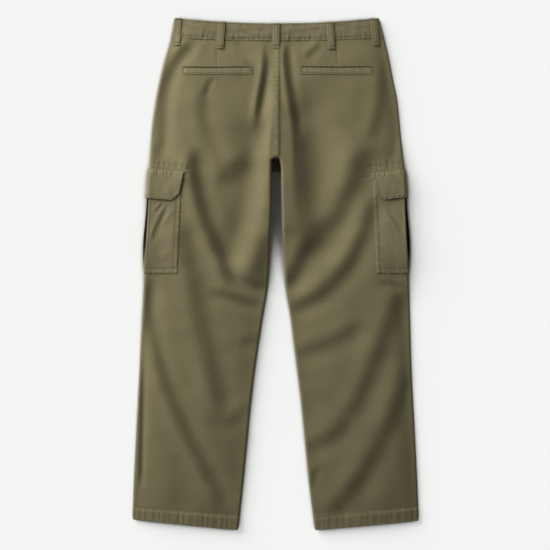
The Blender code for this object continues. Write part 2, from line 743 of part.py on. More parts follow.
def make_closure():
    """Zip tape, slider and fly shield inside the centre front, and the button under the waistband's end."""
    seam = np.array([front_section("left", y)[-1] for y in FRONT_ROWS[:4]])[::-1]
    top_y = seam[-1, 1] - 1.0
    levels = (top_y, seam[2, 1], top_y - SLIDER_ROOM, top_y - SLIDER_ROOM - SLIDER_SLOPE, seam[1, 1])

    def panel_top(y):
        return np.interp(y, seam[:, 1], seam[:, 2]) + CLOTH

    def over_slider(y):
        return SLIDER_CLEAR * np.clip((y - top_y + SLIDER_ROOM + SLIDER_SLOPE) / SLIDER_SLOPE, 0.0, 1.0)

    def strip(name, width, cloth, gap, length, material):
        under = []
        for y in levels + (top_y - length,):
            z = panel_top(y) + gap + over_slider(y)
            under.append([(CENTRE_X + s * width / 2.0, y, z) for s in (-1.0, 0.0, 1.0)])
        under = np.array(under)
        make_wall(name, under, under + np.array((0.0, 0.0, cloth)), material)

    strip("zip_tape", ZIP_TAPE_WIDTH, ZIP_TAPE_CLOTH, SEAM_GAP, ZIP_LENGTH, "tape_cloth")
    shield_gap = 2.0 * SEAM_GAP + ZIP_TAPE_CLOTH
    strip("fly_shield", FLY_SHIELD_WIDTH, CLOTH, shield_gap, FLY_SHIELD_LENGTH, "twill")

    under, over = [], []
    for down, half in SLIDER_OUTLINE:
        y = top_y - SLIDER_TOP - down
        z = panel_top(y) + SEAM_GAP
        thick = SLIDER_THICK if down < SLIDER_BODY else TAB_SHARE * SLIDER_THICK
        edge = z + thick - SLIDER_CROWN
        under.append([(CENTRE_X - half, y, z), (CENTRE_X, y, z), (CENTRE_X + half, y, z)])
        over.append([(CENTRE_X - half, y, edge), (CENTRE_X, y, z + thick), (CENTRE_X + half, y, edge)])
    make_wall("zip_slider", under, over, "brass")

    button_y = outline("left", "inner_y", BAND_MIDDLE_Y) - FRONT_DROP
    make_turned("waist_button", (CENTRE_X, button_y), BUTTON_PROFILE, "button_plastic")


def make_turned(name, centre, profile, material):
    """A turned solid whose profile starts and ends on its axis."""
    points, faces = [], []
    rings = []
    for radius, height in profile:
        if radius == 0.0:
            rings.append([len(points)])
            points.append((centre[0], centre[1], height))
            continue
        ring = []
        for k in range(BUTTON_SIDES):
            turn = 2.0 * math.pi * k / BUTTON_SIDES
            ring.append(len(points))
            points.append((centre[0] + radius * math.cos(turn), centre[1] + radius * math.sin(turn), height))
        rings.append(ring)
    for low, high in zip(rings, rings[1:]):
        for k in range(BUTTON_SIDES):
            a, b = low[k % len(low)], low[(k + 1) % len(low)]
            c, d = high[(k + 1) % len(high)], high[k % len(high)]
            faces.append(tuple(dict.fromkeys((a, b, c, d))))
    return make_object(name, points, faces, material)


def make_materials():
    made = {}
    for name, (colour, roughness, metallic) in MATERIALS.items():
        material = bpy.data.materials.new(name)
        material.use_nodes = True
        shader = material.node_tree.nodes["Principled BSDF"]
        shader.inputs["Base Color"].default_value = (*colour, 1.0)
        shader.inputs["Roughness"].default_value = roughness
        shader.inputs["Metallic"].default_value = metallic
        made[name] = material
    return made


for old in list(bpy.data.objects):
    bpy.data.objects.remove(old)

QUARTER = math.pi / 4.0 * (ROLL_WIDTH + ROLL_HEIGHT)
MATERIAL_DATA = make_materials()
SURFACES = build_surfaces()

for leg in OUTLINES:
    make_back(leg)
    make_front(leg)
    make_cargo_pocket(leg)
    make_cargo_flap(leg)
make_waistband()
make_back_loops()
make_front_loops()
make_welts()
make_closure()
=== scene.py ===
"""Cargo pants in washed cotton twill, lying flat with the back side up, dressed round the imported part.

Lengths are in millimetres until a mesh is made. +Y points to the waist, +Z out of the garment's back and +X
to the wearer's right. Every surface is worked out from the same tables of outlines, folds and lifts, so that
what is sewn on a panel lies on it. Places along a leg are given by a level, which is the outer edge's y, and
by a reach, which is the distance in from that edge.
"""

import logging
import math
from dataclasses import dataclass
from enum import Enum
from typing import NamedTuple, Sequence

import bmesh
import bpy
import numpy as np
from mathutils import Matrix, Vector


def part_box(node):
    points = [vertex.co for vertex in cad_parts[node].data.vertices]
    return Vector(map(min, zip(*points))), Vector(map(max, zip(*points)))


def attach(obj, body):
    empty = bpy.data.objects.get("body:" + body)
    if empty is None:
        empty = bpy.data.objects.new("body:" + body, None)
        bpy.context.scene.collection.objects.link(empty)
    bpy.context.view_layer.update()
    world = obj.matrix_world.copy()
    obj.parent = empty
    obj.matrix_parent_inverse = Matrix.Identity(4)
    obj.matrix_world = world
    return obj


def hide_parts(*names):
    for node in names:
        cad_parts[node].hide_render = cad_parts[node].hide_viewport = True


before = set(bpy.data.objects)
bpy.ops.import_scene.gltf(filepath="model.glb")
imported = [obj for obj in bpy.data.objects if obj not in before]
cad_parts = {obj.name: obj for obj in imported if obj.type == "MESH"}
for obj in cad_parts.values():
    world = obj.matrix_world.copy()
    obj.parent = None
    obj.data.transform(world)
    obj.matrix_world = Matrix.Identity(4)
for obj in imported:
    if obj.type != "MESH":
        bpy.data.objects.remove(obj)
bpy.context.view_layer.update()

LOG = logging.getLogger("cargo_pants")
Array = np.ndarray
MM = 0.001
BODY = "root"
CUT_MAP = "cut"
UP = (0.0, 0.0, 1.0)
DOWN = (0.0, 0.0, -1.0)
WHITE = (1.0, 1.0, 1.0)

# Frequencies of the waves that make up a gathered seam, where 1 has the length of a gather
GATHER_WAVES = (0.53, 0.81, 1.0, 1.29, 1.83)
# Number and height of the waves that make up the unevenness of cloth
SWELL_WAVES = 9
SWELL_HEIGHT = 0.33


class Side(Enum):
    """Left and right leg, as the garment lies."""

    LEFT = "left"
    RIGHT = "right"

    @property
    def inward(self) -> float:
        """Direction along X from the leg's outer edge to its inner edge."""
        return 1.0 if self is Side.LEFT else -1.0


def smoothstep(t: Array) -> Array:
    """Smooth rise from 0 at t = 0 to 1 at t = 1."""
    t = np.clip(t, 0.0, 1.0)
    return t * t * (3.0 - 2.0 * t)


def hump(distance: Array, half_width: float) -> Array:
    """Bell curve that is 1 at no distance."""
    return np.exp(-0.5 * (distance / half_width) ** 2)


def plateau(distance: Array, half_width: float | Array) -> Array:
    """Bell curve with a flat top, which is 1 at no distance."""
    return np.exp(-((distance / half_width) ** 4) / 2.0)


def runs(ends: Sequence[float], counts: Sequence[int]) -> Array:
    """Places along runs that follow each other, evenly spaced in each; the last count includes the end."""
    parts = [np.linspace(a, b, count, endpoint=False) for a, b, count in zip(ends[:-2], ends[1:-1], counts)]
    return np.concatenate(parts + [np.linspace(ends[-2], ends[-1], counts[-1])])


def monotone(xs: Sequence[float], ys: Sequence[float], x: Array) -> Array:
    """Curve through given points that never overshoots them.

    Args:
        xs: The points' places, rising.
        ys: The points' values.
        x: Where to read the curve.

    Returns:
        The values at x.
    """
    xs = np.asarray(xs, float)
    ys = np.asarray(ys, float)
    step = np.diff(xs)
    slope = np.diff(ys) / step
    tangent = np.concatenate((slope[:1], np.zeros(len(xs) - 2), slope[-1:]))
    rising = slope[:-1] * slope[1:] > 0
    total = np.where(rising, slope[:-1] + slope[1:], 1.0)
    tangent[1:-1] = np.where(rising, 2.0 * slope[:-1] * slope[1:] / total, 0.0)
    x = np.clip(x, xs[0], xs[-1])
    i = np.clip(np.searchsorted(xs, x, side="right") - 1, 0, len(step) - 1)
    t = (x - xs[i]) / step[i]
    ends = ys[i] * (1 + 2 * t) * (1 - t) ** 2 + ys[i + 1] * t * t * (3 - 2 * t)
    return ends + step[i] * (tangent[i] * t * (1 - t) ** 2 - tangent[i + 1] * t * t * (1 - t))


def stepped(table: Sequence[tuple[float, float]], level: Array) -> Array:
    """Straight-line value at a level of a table of (level, value) rows from high to low."""
    levels, values = np.array(table)[::-1].T
    return np.interp(level, levels, values)


def eased(table: Sequence[tuple[float, float]], level: Array) -> Array:
    """Smooth value at a level of a table of (level, value) rows from high to low."""
    levels, values = np.array(table)[::-1].T
    return monotone(levels, values, level)


def pucker(along: Array, length: float, seed: int) -> Array:
    """Uneven gathers along a seam.

    Args:
        along: Distance along the seam.
        length: Usual length of one gather.
        seed: Which pattern of gathers.

    Returns:
        Heights between about -1 and 1.
    """
    draw = np.random.default_rng(seed)
    total = 0.0
    for share in GATHER_WAVES:
        turn = draw.uniform(0.0, 2.0 * math.pi)
        total = total + draw.uniform(0.3, 0.6) * np.sin(2.0 * math.pi * share * along / length + turn)
    return total


def unevenness(x: Array, y: Array, length: float, seed: int) -> Array:
    """Broad unevenness of cloth that has been worn and washed.

    Args:
        x: Places across.
        y: Places along.
        length: Usual length of one swell.
        seed: Which pattern of swells.

    Returns:
        Heights between about -1 and 1.
    """
    draw = np.random.default_rng(seed)
    total = 0.0
    for _ in range(SWELL_WAVES):
        heading = draw.uniform(0.0, math.pi)
        wave = 2.0 * math.pi / (length * draw.uniform(0.6, 1.7))
        across = np.cos(heading) * x + np.sin(heading) * y
        total = total + SWELL_HEIGHT * np.sin(wave * across + draw.uniform(0.0, 2.0 * math.pi))
    return total


def nearest(values: Array, value: float) -> int:
    """Number of the value in a row that is nearest to a given one."""
    return int(np.abs(values - value).argmin())


def raised(points: Array, height: float) -> Array:
    """Points that lie a little above the given ones."""
    return points + (0.0, 0.0, height)


def points_near(x: Array, y: Array, line: Array, room: float) -> Array:
    """Numbers of the points in the box round a line, widened by some room."""
    low, high = line.min(0) - room, line.max(0) + room
    return np.flatnonzero((x > low[0]) & (x < high[0]) & (y > low[1]) & (y < high[1]))


def line_distance(x: Array, y: Array, line: Array, way: Sequence[float] | None = None) -> tuple[Array, Array]:
    """Distance of points from a run of straight pieces.

    Args:
        x: The points' x, in one row.
        y: The points' y, in one row.
        line: The run's corners, as rows of (x, y).
        way: Where given, distances are positive on the side that this direction points to, and negative
            on the other.

    Returns:
        The distances, and how far along the run its nearest place is, from 0 to 1.
    """
    start, piece = line[:-1], np.diff(line, axis=0)
    size = np.hypot(*piece.T)
    offset = np.stack((x, y), -1)[:, None, :] - start
    t = np.clip((offset * piece).sum(-1) / size**2, 0.0, 1.0)
    gap = np.hypot(*np.moveaxis(offset - t[..., None] * piece, -1, 0))
    closest = gap.argmin(1)
    rows = np.arange(len(x))
    before = np.concatenate(((0.0,), np.cumsum(size)))
    along = (before[closest] + t[rows, closest] * size[closest]) / before[-1]
    gap = gap[rows, closest]
    if way is not None:
        chord = line[-1] - line[0]
        turn = 1.0 if chord[0] * way[1] - chord[1] * way[0] > 0.0 else -1.0
        near = offset[rows, closest]
        gap = gap * np.sign(turn * (piece[closest, 0] * near[:, 1] - piece[closest, 1] * near[:, 0]))
    return gap, along


# The direction, to the lower right, in which slumped cloth lies lower
SLUMP_WAY = (0.8, -0.6)
# Scales the slope of a bell curve so that it reaches 1
SLUMP_PEAK = math.exp(0.5)
# Scales t (1 - t)^2, which is 4 / 27 at a third, so that it reaches 1
BOW_SCALE = 27.0 / 4.0
# Number of half widths at which a fold has run out
FOLD_ROOM = 4.5
# Folds that run out over at least this length may do so over half of themselves, others over 0.3
LONG_ENDS = 60.0


class Fold(NamedTuple):
    """One soft fold: its ends, its bow at a third and two thirds, its half width and its heights.

    `swell` is the height of its middle. `slump` is how far its upper left side stands above the middle and
    its lower right side lies below it, as in cloth that has slid down over itself. `ends` is the length over
    which it runs out.
    """

    start_x: float
    start_y: float
    end_x: float
    end_y: float
    bow_1: float
    bow_2: float
    width: float
    swell: float
    slump: float
    ends: float = 45.0

    def line(self, samples: int = 49) -> Array:
        """Points along the fold's middle line.

        Args:
            samples: Number of points.

        Returns:
            Rows of (x, y).
        """
        start = np.array((self.start_x, self.start_y))
        chord = np.array((self.end_x, self.end_y)) - start
        across = np.array((-chord[1], chord[0])) / np.hypot(*chord)
        t = np.linspace(0.0, 1.0, samples)[:, None]
        bow = BOW_SCALE * (self.bow_1 * t * (1 - t) ** 2 + self.bow_2 * t * t * (1 - t))
        return start + chord * t + across * bow

    def relief(self, x: Array, y: Array) -> Array:
        """Height that the fold adds.

        Args:
            x: The points' x, in one row.
            y: The points' y, in one row.

        Returns:
            The heights, which are 0 away from the fold.
        """
        line = self.line()
        most = 0.3 if self.ends < LONG_ENDS else 0.5
        fade = min(most, self.ends / np.hypot(*(line[-1] - line[0])))
        near = points_near(x, y, line, FOLD_ROOM * self.width)
        relief = np.zeros(x.shape)
        if len(near):
            gap, t = line_distance(x[near], y[near], line, SLUMP_WAY)
            gap = gap / self.width
            ends = smoothstep(t / fade) * smoothstep((1.0 - t) / fade)
            relief[near] = (self.swell - SLUMP_PEAK * self.slump * gap) * hump(gap, 1.0) * ends
        return relief


FOLDS = (
    # The seat
    Fold(-158, 493, -246, 228, -36, -5, 13, 0.0, 4.2),
    Fold(-30, 489, -39, 292, 12, -4, 7.4, 0.0, 3.8, 70.0),
    Fold(-17, 445, -14, 225, 1, 4, 13.5, 0.0, -3.8, 80.0),
    Fold(22, 493, 44, 275, -6, 2, 8.5, 0.0, 4.6),
    Fold(28, 410, 56, 22, 2, 14, 34, 0.0, 10.2, 85.0),
    Fold(-147, 414, -94, 222, -15, -22, 15, 0.0, 2.2),
    Fold(-60, 375, -104, 235, 1, 1, 20, 0.0, 0.8),
    Fold(-34, 250, -142, 194, -3, 10, 23, 0.0, 3.2),
    Fold(218, 456, 193, 265, 9, 7, 13.7, 0.0, 1.9),
    Fold(-95, 481, -49, 439, 0, 0, 8, 0.0, 1.5),
    Fold(-133, 485, -166, 451, 0, 0, 7, 0.0, 0.4),
    Fold(97, 485, 59, 447, 0, 0, 8, 0.0, 1.3),
    Fold(-138, 412, -150, 366, 1, 0, 6, -0.8, 0.9),
    Fold(-126, 412, -133, 392, 0, 0, 3, -0.8, 0.0),
    Fold(-114, 412, -118, 396, 0, 0, 3, -0.6, 0.0),
    # The left leg
    Fold(-10, 325, -94, -8, 6, 17, 28, 4.0, -8.8),
    Fold(-179, 268, -76, -22, -10, -14, 15.5, 0.0, 6.6),
    Fold(-108, 39, -4, -30, -11, -9, 12, 0.0, 3.4),
    Fold(-204, 113, -100, -309, 4, -6, 21, 0.0, 4.2),
    Fold(-271, 4, -100, -496, -29, -12, 15, 0.0, 3.8),
    Fold(-147, -27, -22, -69, 0, -1, 12.2, 0.0, 3.2),
    Fold(-83, -144, -20, -132, 0, 0, 12.2, 0.0, 0.9),
    Fold(-108, -334, -32, -270, 9, 10, 15.2, 0.0, 1.1),
    Fold(-281, -176, -285, -456, 1, 1, 5, 0.0, 2.2),
    # The right leg
    Fold(197, 284, 51, 50, 6, 24, 26, 0.0, 6.6),
    Fold(80, 86, 3, -45, 0, 6, 19, 0.0, 5.4),
    Fold(206, 180, 12, -75, 24, 38, 18.5, 0.0, 4.3),
    Fold(272, -12, 139, -326, 3, 5, 20, 0.0, 3.3, 58.0),
    Fold(160, -288, 51, -359, 10, 10, 19, 0.0, 2.8),
    Fold(287, -184, 93, -518, 11, 20, 20, 0.0, 3.3, 58.0),
    Fold(185, -84, 26, -184, 15, -6, 18, 0.0, 2.4),
    Fold(218, -10, 268, -29, 0, 0, 7.7, 0.0, 1.5),
    Fold(97, -393, 66, -483, -7, -5, 9, 0.0, 1.2),
)


class Outline(NamedTuple):
    """One level of a leg's outline; loft is how far the cloth swells above its rolled edges."""

    outer_x: float
    outer_y: float
    inner_x: float
    inner_y: float
    loft: float


OUTLINES = {
    Side.LEFT: (
        Outline(-211.2, 535.0, 1.85, 522.5, 7.3),
        Outline(-218.5, 492.4, 1.85, 485.1, 8.8),
        Outline(-231.0, 447.3, 1.85, 443.1, 11.8),
        Outline(-241.5, 405.5, 1.85, 401.8, 13.8),
        Outline(-249.9, 363.7, 1.85, 360.5, 14.8),
        Outline(-258.2, 301.0, 1.85, 298.9, 14.8),
        Outline(-261.8, 247.7, 1.60, 246.6, 14.3),
        Outline(-262.4, 238.3, -6.8, 238.3, 14.3),
        Outline(-263.2, 221.5, -7.6, 221.5, 13.8),
        Outline(-266.6, 154.7, -8.0, 154.7, 13.8),
        Outline(-270.8, 71.1, -11.6, 71.1, 13.8),
        Outline(-274.9, -14.6, -15.8, -14.6, 13.3),
        Outline(-279.1, -96.1, -28.3, -96.1, 12.8),
        Outline(-283.3, -179.7, -40.9, -179.7, 12.3),
        Outline(-287.5, -263.3, -51.3, -263.3, 11.8),
        Outline(-291.7, -346.9, -59.7, -349.0, 11.3),
        Outline(-295.8, -430.5, -68.4, -438.9, 9.0),
        Outline(-299.0, -513.1, -78.5, -535.0, 5.0),
    ),
    Side.RIGHT: (
        Outline(216.2, 535.0, 2.15, 522.5, 7.3),
        Outline(226.7, 492.4, 2.15, 485.1, 8.8),
        Outline(237.1, 447.3, 2.15, 443.1, 11.8),
        Outline(245.5, 405.5, 2.15, 401.8, 13.8),
        Outline(253.8, 363.7, 2.15, 360.5, 14.8),
        Outline(260.1, 301.0, 2.15, 298.9, 14.8),
        Outline(265.3, 247.7, 2.40, 246.6, 14.3),
        Outline(266.4, 238.3, 7.2, 238.3, 14.3),
        Outline(267.8, 221.5, 11.0, 221.5, 13.8),
        Outline(271.2, 154.7, 12.0, 154.7, 13.8),
        Outline(274.7, 71.1, 14.7, 71.1, 13.8),
        Outline(278.1, -14.6, 19.8, -14.6, 13.3),
        Outline(281.0, -96.1, 32.3, -96.1, 12.8),
        Outline(283.1, -179.7, 42.7, -179.7, 12.3),
        Outline(287.3, -263.3, 53.2, -263.3, 11.8),
        Outline(291.5, -346.9, 61.6, -349.0, 11.3),
        Outline(295.6, -430.5, 70.5, -438.9, 9.0),
        Outline(299.0, -515.8, 82.5, -535.0, 5.0),
    ),
}


# Room round a crease beyond ten of its widths, the length of its gathers and how many widths they spread
CREASE_ROOM = 6.0
CREASE_GATHER = 12.0
CREASE_SPREAD = 4.5
# Pattern of the first crease's gathers, which the others count on from
CREASE_SEED = 40


class Crease(NamedTuple):
    """A straight stitched line that presses into the cloth, with gathers of a given height beside it."""

    start_x: float
    start_y: float
    end_x: float
    end_y: float
    width: float
    depth: float
    gather: float

    @property
    def ends(self) -> Array:
        """Its two ends, as rows of (x, y)."""
        return np.array(((self.start_x, self.start_y), (self.end_x, self.end_y)))

    def relief(self, x: Array, y: Array, seed: int) -> Array:
        """Height that the crease and its gathers add.

        Args:
            x: The points' x, in one row.
            y: The points' y, in one row.
            seed: Which pattern of gathers.

        Returns:
            The heights, which are 0 away from the crease.
        """
        relief = np.zeros(x.shape)
        near = points_near(x, y, self.ends, CREASE_ROOM + 10.0 * self.width)
        if len(near):
            gap, t = line_distance(x[near], y[near], self.ends)
            along = t * np.hypot(*(self.ends[1] - self.ends[0]))
            gathers = self.gather * pucker(along, CREASE_GATHER, seed) * hump(gap, CREASE_SPREAD * self.width)
            relief[near] = gathers - self.depth * hump(gap, self.width)
        return relief


DARTS = (
    Crease(-121.7, 476.0, -121.9, 437.0, 1.8, 0.6, 0.0),
    Crease(127.6, 476.0, 129.4, 436.0, 1.8, 0.6, 0.0),
)
POCKET_LINES = (
    Crease(-259.4, 231.2, -229.7, 229.2, 1.5, 0.4, 0.6),
    Crease(-229.7, 229.2, -182.0, 225.2, 1.5, 0.4, 0.6),
    Crease(-182.0, 225.2, -186.0, 179.0, 1.5, 0.45, 0.4),
    Crease(262.0, 233.0, 221.2, 226.6, 1.5, 0.4, 0.6),
    Crease(221.2, 226.6, 188.6, 223.6, 1.5, 0.4, 0.6),
    Crease(188.6, 223.6, 192.4, 182.6, 1.5, 0.45, 0.4),
)
CREASES = DARTS + POCKET_LINES


# Height of the hem's stitches over its edge, at the outer and the inner end, and its pattern of gathers
HEM_STITCH = {Side.LEFT: (24.8, 25.5), Side.RIGHT: (28.0, 24.5)}
HEM_SEED = {Side.LEFT: 7, Side.RIGHT: 8}
# How often the level of a place is worked out anew, until it no longer changes
LEVEL_ROUNDS = 8


@dataclass(frozen=True)
class Garment:
    """The shape in which the garment lies, which every piece follows."""

    cloth: float = 1.2
    hem_cloth: float = 2.4
    seam_gap: float = 0.3
    lay_gap: float = 0.5
    roll_width: float = 4.4
    roll_height: float = 2.8
    lap: float = 9.0
    swell_length: float = 25.0
    least_height: float = 4.0
    most_height: float = 31.0
    give: float = 1.2
    inner_length: float = 40.0
    centre_x: float = 2.0
    waist_y: float = 535.0
    band_low_y: float = 492.4
    crotch_high_y: float = 252.0
    crotch_low_y: float = 234.0
    front_crotch_y: float = 213.2
    hem_fold_y: float = -486.0
    hem_high_y: float = -490.5
    waist_bow: float = 2.2
    waist_bow_from: float = 400.0
    waist_bow_over: float = 60.0
    hem_gather: float = 0.34
    hem_gather_length: float = 13.0
    hem_groove: float = 0.6
    hem_groove_half: float = 1.5
    swells: float = 0.35
    swells_length: float = 70.0
    swells_full_loft: float = 6.0
    waist_lift: tuple = ((535.0, 1.9), (450.0, 1.9), (400.0, 0.0), (-600.0, 0.0))
    pocket_lift: tuple = (
        (238.3, 0.0), (225.7, 3.4), (146.3, 3.4), (129.6, 1.5), (-6.3, 1.5), (-25.0, 0.0),
    )
    top_waist_lift: tuple = ((600.0, 1.9), (470.0, 1.9), (360.0, 0.0), (-600.0, 0.0))
    top_pocket_lift: tuple = (
        (600.0, 0.0), (310.0, 0.0), (215.0, 3.4), (155.0, 3.2), (0.0, 1.5), (-80.0, 0.0), (-600.0, 0.0),
    )
    stack: tuple = (
        (600.0, 0.0), (300.0, 0.0), (225.0, 6.5), (195.0, 8.5), (50.0, 8.5), (0.0, 6.2), (-60.0, 3.0),
        (-160.0, 0.0), (-600.0, 0.0),
    )
    stack_full: float = 60.0
    stack_none: float = 130.0
    inner_round: tuple = ((600.0, 0.0), (130.0, 0.0), (30.0, 0.55), (-100.0, 0.6), (-600.0, 0.5))
    pocket_lift_full: float = 95.0
    pocket_lift_none: float = 125.0
    top_lift_full: float = 50.0
    top_lift_none: float = 180.0

    @property
    def quarter(self) -> float:
        """Length of a quarter of the rolled edge."""
        return math.pi / 4.0 * (self.roll_width + self.roll_height)

    def outline(self, side: Side, column: str, level: Array) -> Array:
        """Value of one column of the outline at a level."""
        table = np.array(OUTLINES[side])[::-1]
        return monotone(table[:, 1], table[:, Outline._fields.index(column)], level)

    def hem_y(self, side: Side) -> float:
        """Level of the hem's lower edge."""
        return OUTLINES[side][-1].outer_y

    def width(self, side: Side, level: Array) -> Array:
        """Distance between a leg's two edges."""
        return np.abs(self.outline(side, "inner_x", level) - self.outline(side, "outer_x", level))

    def spread(self, side: Side, level: Array, reach: Array) -> tuple[Array, Array]:
        """Place on the surface below, as x and y, of a level and a reach.

        Args:
            side: Which leg.
            level: The outer edge's y.
            reach: Distance in from the outer edge.

        Returns:
            The points' x and y.
        """
        share = reach / self.width(side, level)
        bowed = 1.0 - np.maximum(1.0 - share, 0.0) ** self.waist_bow
        bowed = share + (bowed - share) * smoothstep((level - self.waist_bow_from) / self.waist_bow_over)
        x = self.outline(side, "outer_x", level) + side.inward * reach
        return x, level + (self.outline(side, "inner_y", level) - level) * bowed

    def level_at(self, side: Side, x: Array, y: Array) -> tuple[Array, Array]:
        """Level and reach of the place (x, y).

        Args:
            side: Which leg.
            x: The points' x.
            y: The points' y.

        Returns:
            The points' levels and reaches.
        """
        level = np.array(y, float)
        for _ in range(LEVEL_ROUNDS):
            reach = side.inward * (x - self.outline(side, "outer_x", level))
            level = level + y - self.spread(side, level, reach)[1]
        return level, side.inward * (x - self.outline(side, "outer_x", level))

    def leg_share(self, level: Array) -> Array:
        """0 in the seat, where the panels meet at the centre, and 1 where the leg has an inner edge."""
        return smoothstep((self.crotch_high_y - level) / (self.crotch_high_y - self.crotch_low_y))

    def cloth_at(self, level: Array) -> Array:
        """Wall of a panel: one layer, and the turned-up layers at the hem."""
        share = smoothstep((self.hem_fold_y - level) / (self.hem_fold_y - self.hem_high_y))
        return self.cloth + (self.hem_cloth - self.cloth) * share

    def floor_lift(self, level: Array, reach: Array) -> Array:
        """Height of the front panel's underside."""
        share = np.interp(reach, (self.pocket_lift_full, self.pocket_lift_none), (1.0, 0.0))
        return stepped(self.waist_lift, level) + stepped(self.pocket_lift, level) * share

    def top_lift(self, level: Array, reach: Array) -> Array:
        """Height that what lies under the garment adds to its back."""
        share = smoothstep((self.top_lift_none - reach) / (self.top_lift_none - self.top_lift_full))
        return eased(self.top_waist_lift, level) + eased(self.top_pocket_lift, level) * share

    def stacked(self, level: Array, reach: Array, loft: Array) -> Array:
        """Rise to where the pocket's folded cloth holds the leg up, over a given loft.

        Args:
            level: The outer edge's y.
            reach: Distance in from the outer edge.
            loft: How far the cloth swells there without the pocket.

        Returns:
            The heights.
        """
        share = smoothstep((self.stack_none - reach) / (self.stack_none - self.stack_full))
        full = eased(self.stack, level) * share
        return np.logaddexp(0.0, (full - loft) / self.give) * self.give * smoothstep(full / 2.0)

    def swell(self, distance: Array) -> Array:
        """Rise of the cloth away from a rolled edge."""
        return 1.0 - 1.0 / (1.0 + (distance / self.swell_length) ** 2)

    def folds(self, x: Array, y: Array) -> Array:
        """Height that all the folds add.

        Args:
            x: The points' x.
            y: The points' y.

        Returns:
            The heights.
        """
        shape = np.shape(x)
        x, y = np.ravel(x), np.ravel(y)
        return sum(fold.relief(x, y) for fold in FOLDS).reshape(shape)

    def creases(self, x: Array, y: Array) -> Array:
        """Depth pressed into the panels by what is stitched through them.

        Args:
            x: The points' x.
            y: The points' y.

        Returns:
            The heights, which are negative in the creases.
        """
        shape = np.shape(x)
        x, y = np.ravel(x), np.ravel(y)
        relief = sum(crease.relief(x, y, seed) for seed, crease in enumerate(CREASES, CREASE_SEED))
        return relief.reshape(shape)

    def hem_stitch(self, side: Side, reach: Array, level: Array) -> Array:
        """Distance of the hem's stitches above its lower edge."""
        outer, inner = HEM_STITCH[side]
        return outer + (inner - outer) * (reach / self.width(side, level))

    def hem_relief(self, side: Side, level: Array, reach: Array) -> Array:
        """Gathers in the hem and the line of its stitches.

        Args:
            side: Which leg.
            level: The outer edge's y.
            reach: Distance in from the outer edge.

        Returns:
            The heights.
        """
        above = level - self.hem_y(side)
        stitch = self.hem_stitch(side, reach, level)
        gathers = self.hem_gather * pucker(reach, self.hem_gather_length, HEM_SEED[side])
        inside = smoothstep(above / 5.0) * smoothstep((stitch + 0.5 - above) / 6.0)
        beyond = 0.5 * smoothstep((above - stitch + 3.0) / 4.0)
        beyond = beyond * np.exp(-np.maximum(above - stitch, 0.0) / 6.0)
        return gathers * (inside + beyond) - self.hem_groove * hump(above - stitch, self.hem_groove_half)

    def top(self, side: Side, level: Array, reach: Array) -> Array:
        """Points on the outside of the back.

        Args:
            side: Which leg.
            level: The outer edge's y.
            reach: Distance in from the outer edge.

        Returns:
            Points, in an array with one more axis than level and reach.
        """
        level, reach = np.broadcast_arrays(np.asarray(level, float), np.asarray(reach, float))
        x, y = self.spread(side, level, reach)
        inner = (self.width(side, level) - reach - self.roll_width) / self.inner_length
        edge = 1.0 - self.leg_share(level) * eased(self.inner_round, level) / (1.0 + inner**2)
        loft = self.outline(side, "loft", level) * self.swell(reach - self.roll_width) * edge
        height = 2.0 * self.roll_height + loft + self.stacked(level, reach, loft) + self.folds(x, y)
        height = self.least_height + np.logaddexp(0.0, (height - self.least_height) / self.give) * self.give
        height = self.most_height - np.logaddexp(0.0, (self.most_height - height) / self.give) * self.give
        flat = self.top_lift(level, reach) + self.cloth_at(level) + self.seam_gap
        fine = self.creases(x, y) + self.hem_relief(side, level, reach)
        swells = self.swells * unevenness(x, y, self.swells_length, 3)
        fine = fine + swells * np.clip(loft / self.swells_full_loft, 0.0, 1.0)
        return np.stack((x, y, flat + height + fine), -1)

    def height(self, side: Side, x: Array, y: Array) -> Array:
        """Height of the back's outside at the place (x, y)."""
        level, reach = self.level_at(side, np.asarray(x, float), np.asarray(y, float))
        return self.top(side, level, reach)[..., 2]

    def centre_heights(self, x: Array, y: Array) -> tuple[Array, Array]:
        """Heights of the left and the right back panel, each no nearer to the centre than its own edge."""
        left = self.height(Side.LEFT, np.minimum(x, self.centre_x - self.seam_gap), y)
        return left, self.height(Side.RIGHT, np.maximum(x, self.centre_x + self.seam_gap), y)

    def wrap(self, side: Side, y: Array, place: Array, standoff: Array) -> Array:
        """Points at a standoff from a leg's outside, round its outer edge.

        Args:
            side: Which leg.
            y: Level of the points.
            place: Distance round the leg: 0 on the outline, above 0 over the back, below 0 under the front.
            standoff: Distance out from the leg.

        Returns:
            Points, in an array with one more axis.
        """
        y, place, standoff = np.broadcast_arrays(*(np.asarray(a, float) for a in (y, place, standoff)))
        outer_x = self.outline(side, "outer_x", y)
        floor = self.floor_lift(y, 0.0)
        reach = self.roll_width + np.maximum(place - self.quarter, 0.0)
        top = self.height(side, outer_x + side.inward * reach, y)
        half = (self.height(side, outer_x + side.inward * self.roll_width, y) - floor) / 2.0
        turn = 0.5 * math.pi * np.clip(place / self.quarter, -1.0, 1.0)
        rolled = self.roll_width - (self.roll_width + standoff) * np.cos(turn)
        under = self.roll_width + np.maximum(-place - self.quarter, 0.0)
        over, below = place >= self.quarter, place <= -self.quarter
        x = np.where(over, reach, np.where(below, under, rolled))
        z = floor + half + (half + standoff) * np.sin(turn)
        z = np.where(over, top + standoff, np.where(below, floor - standoff, z))
        return np.stack((outer_x + side.inward * x, y, z), -1)


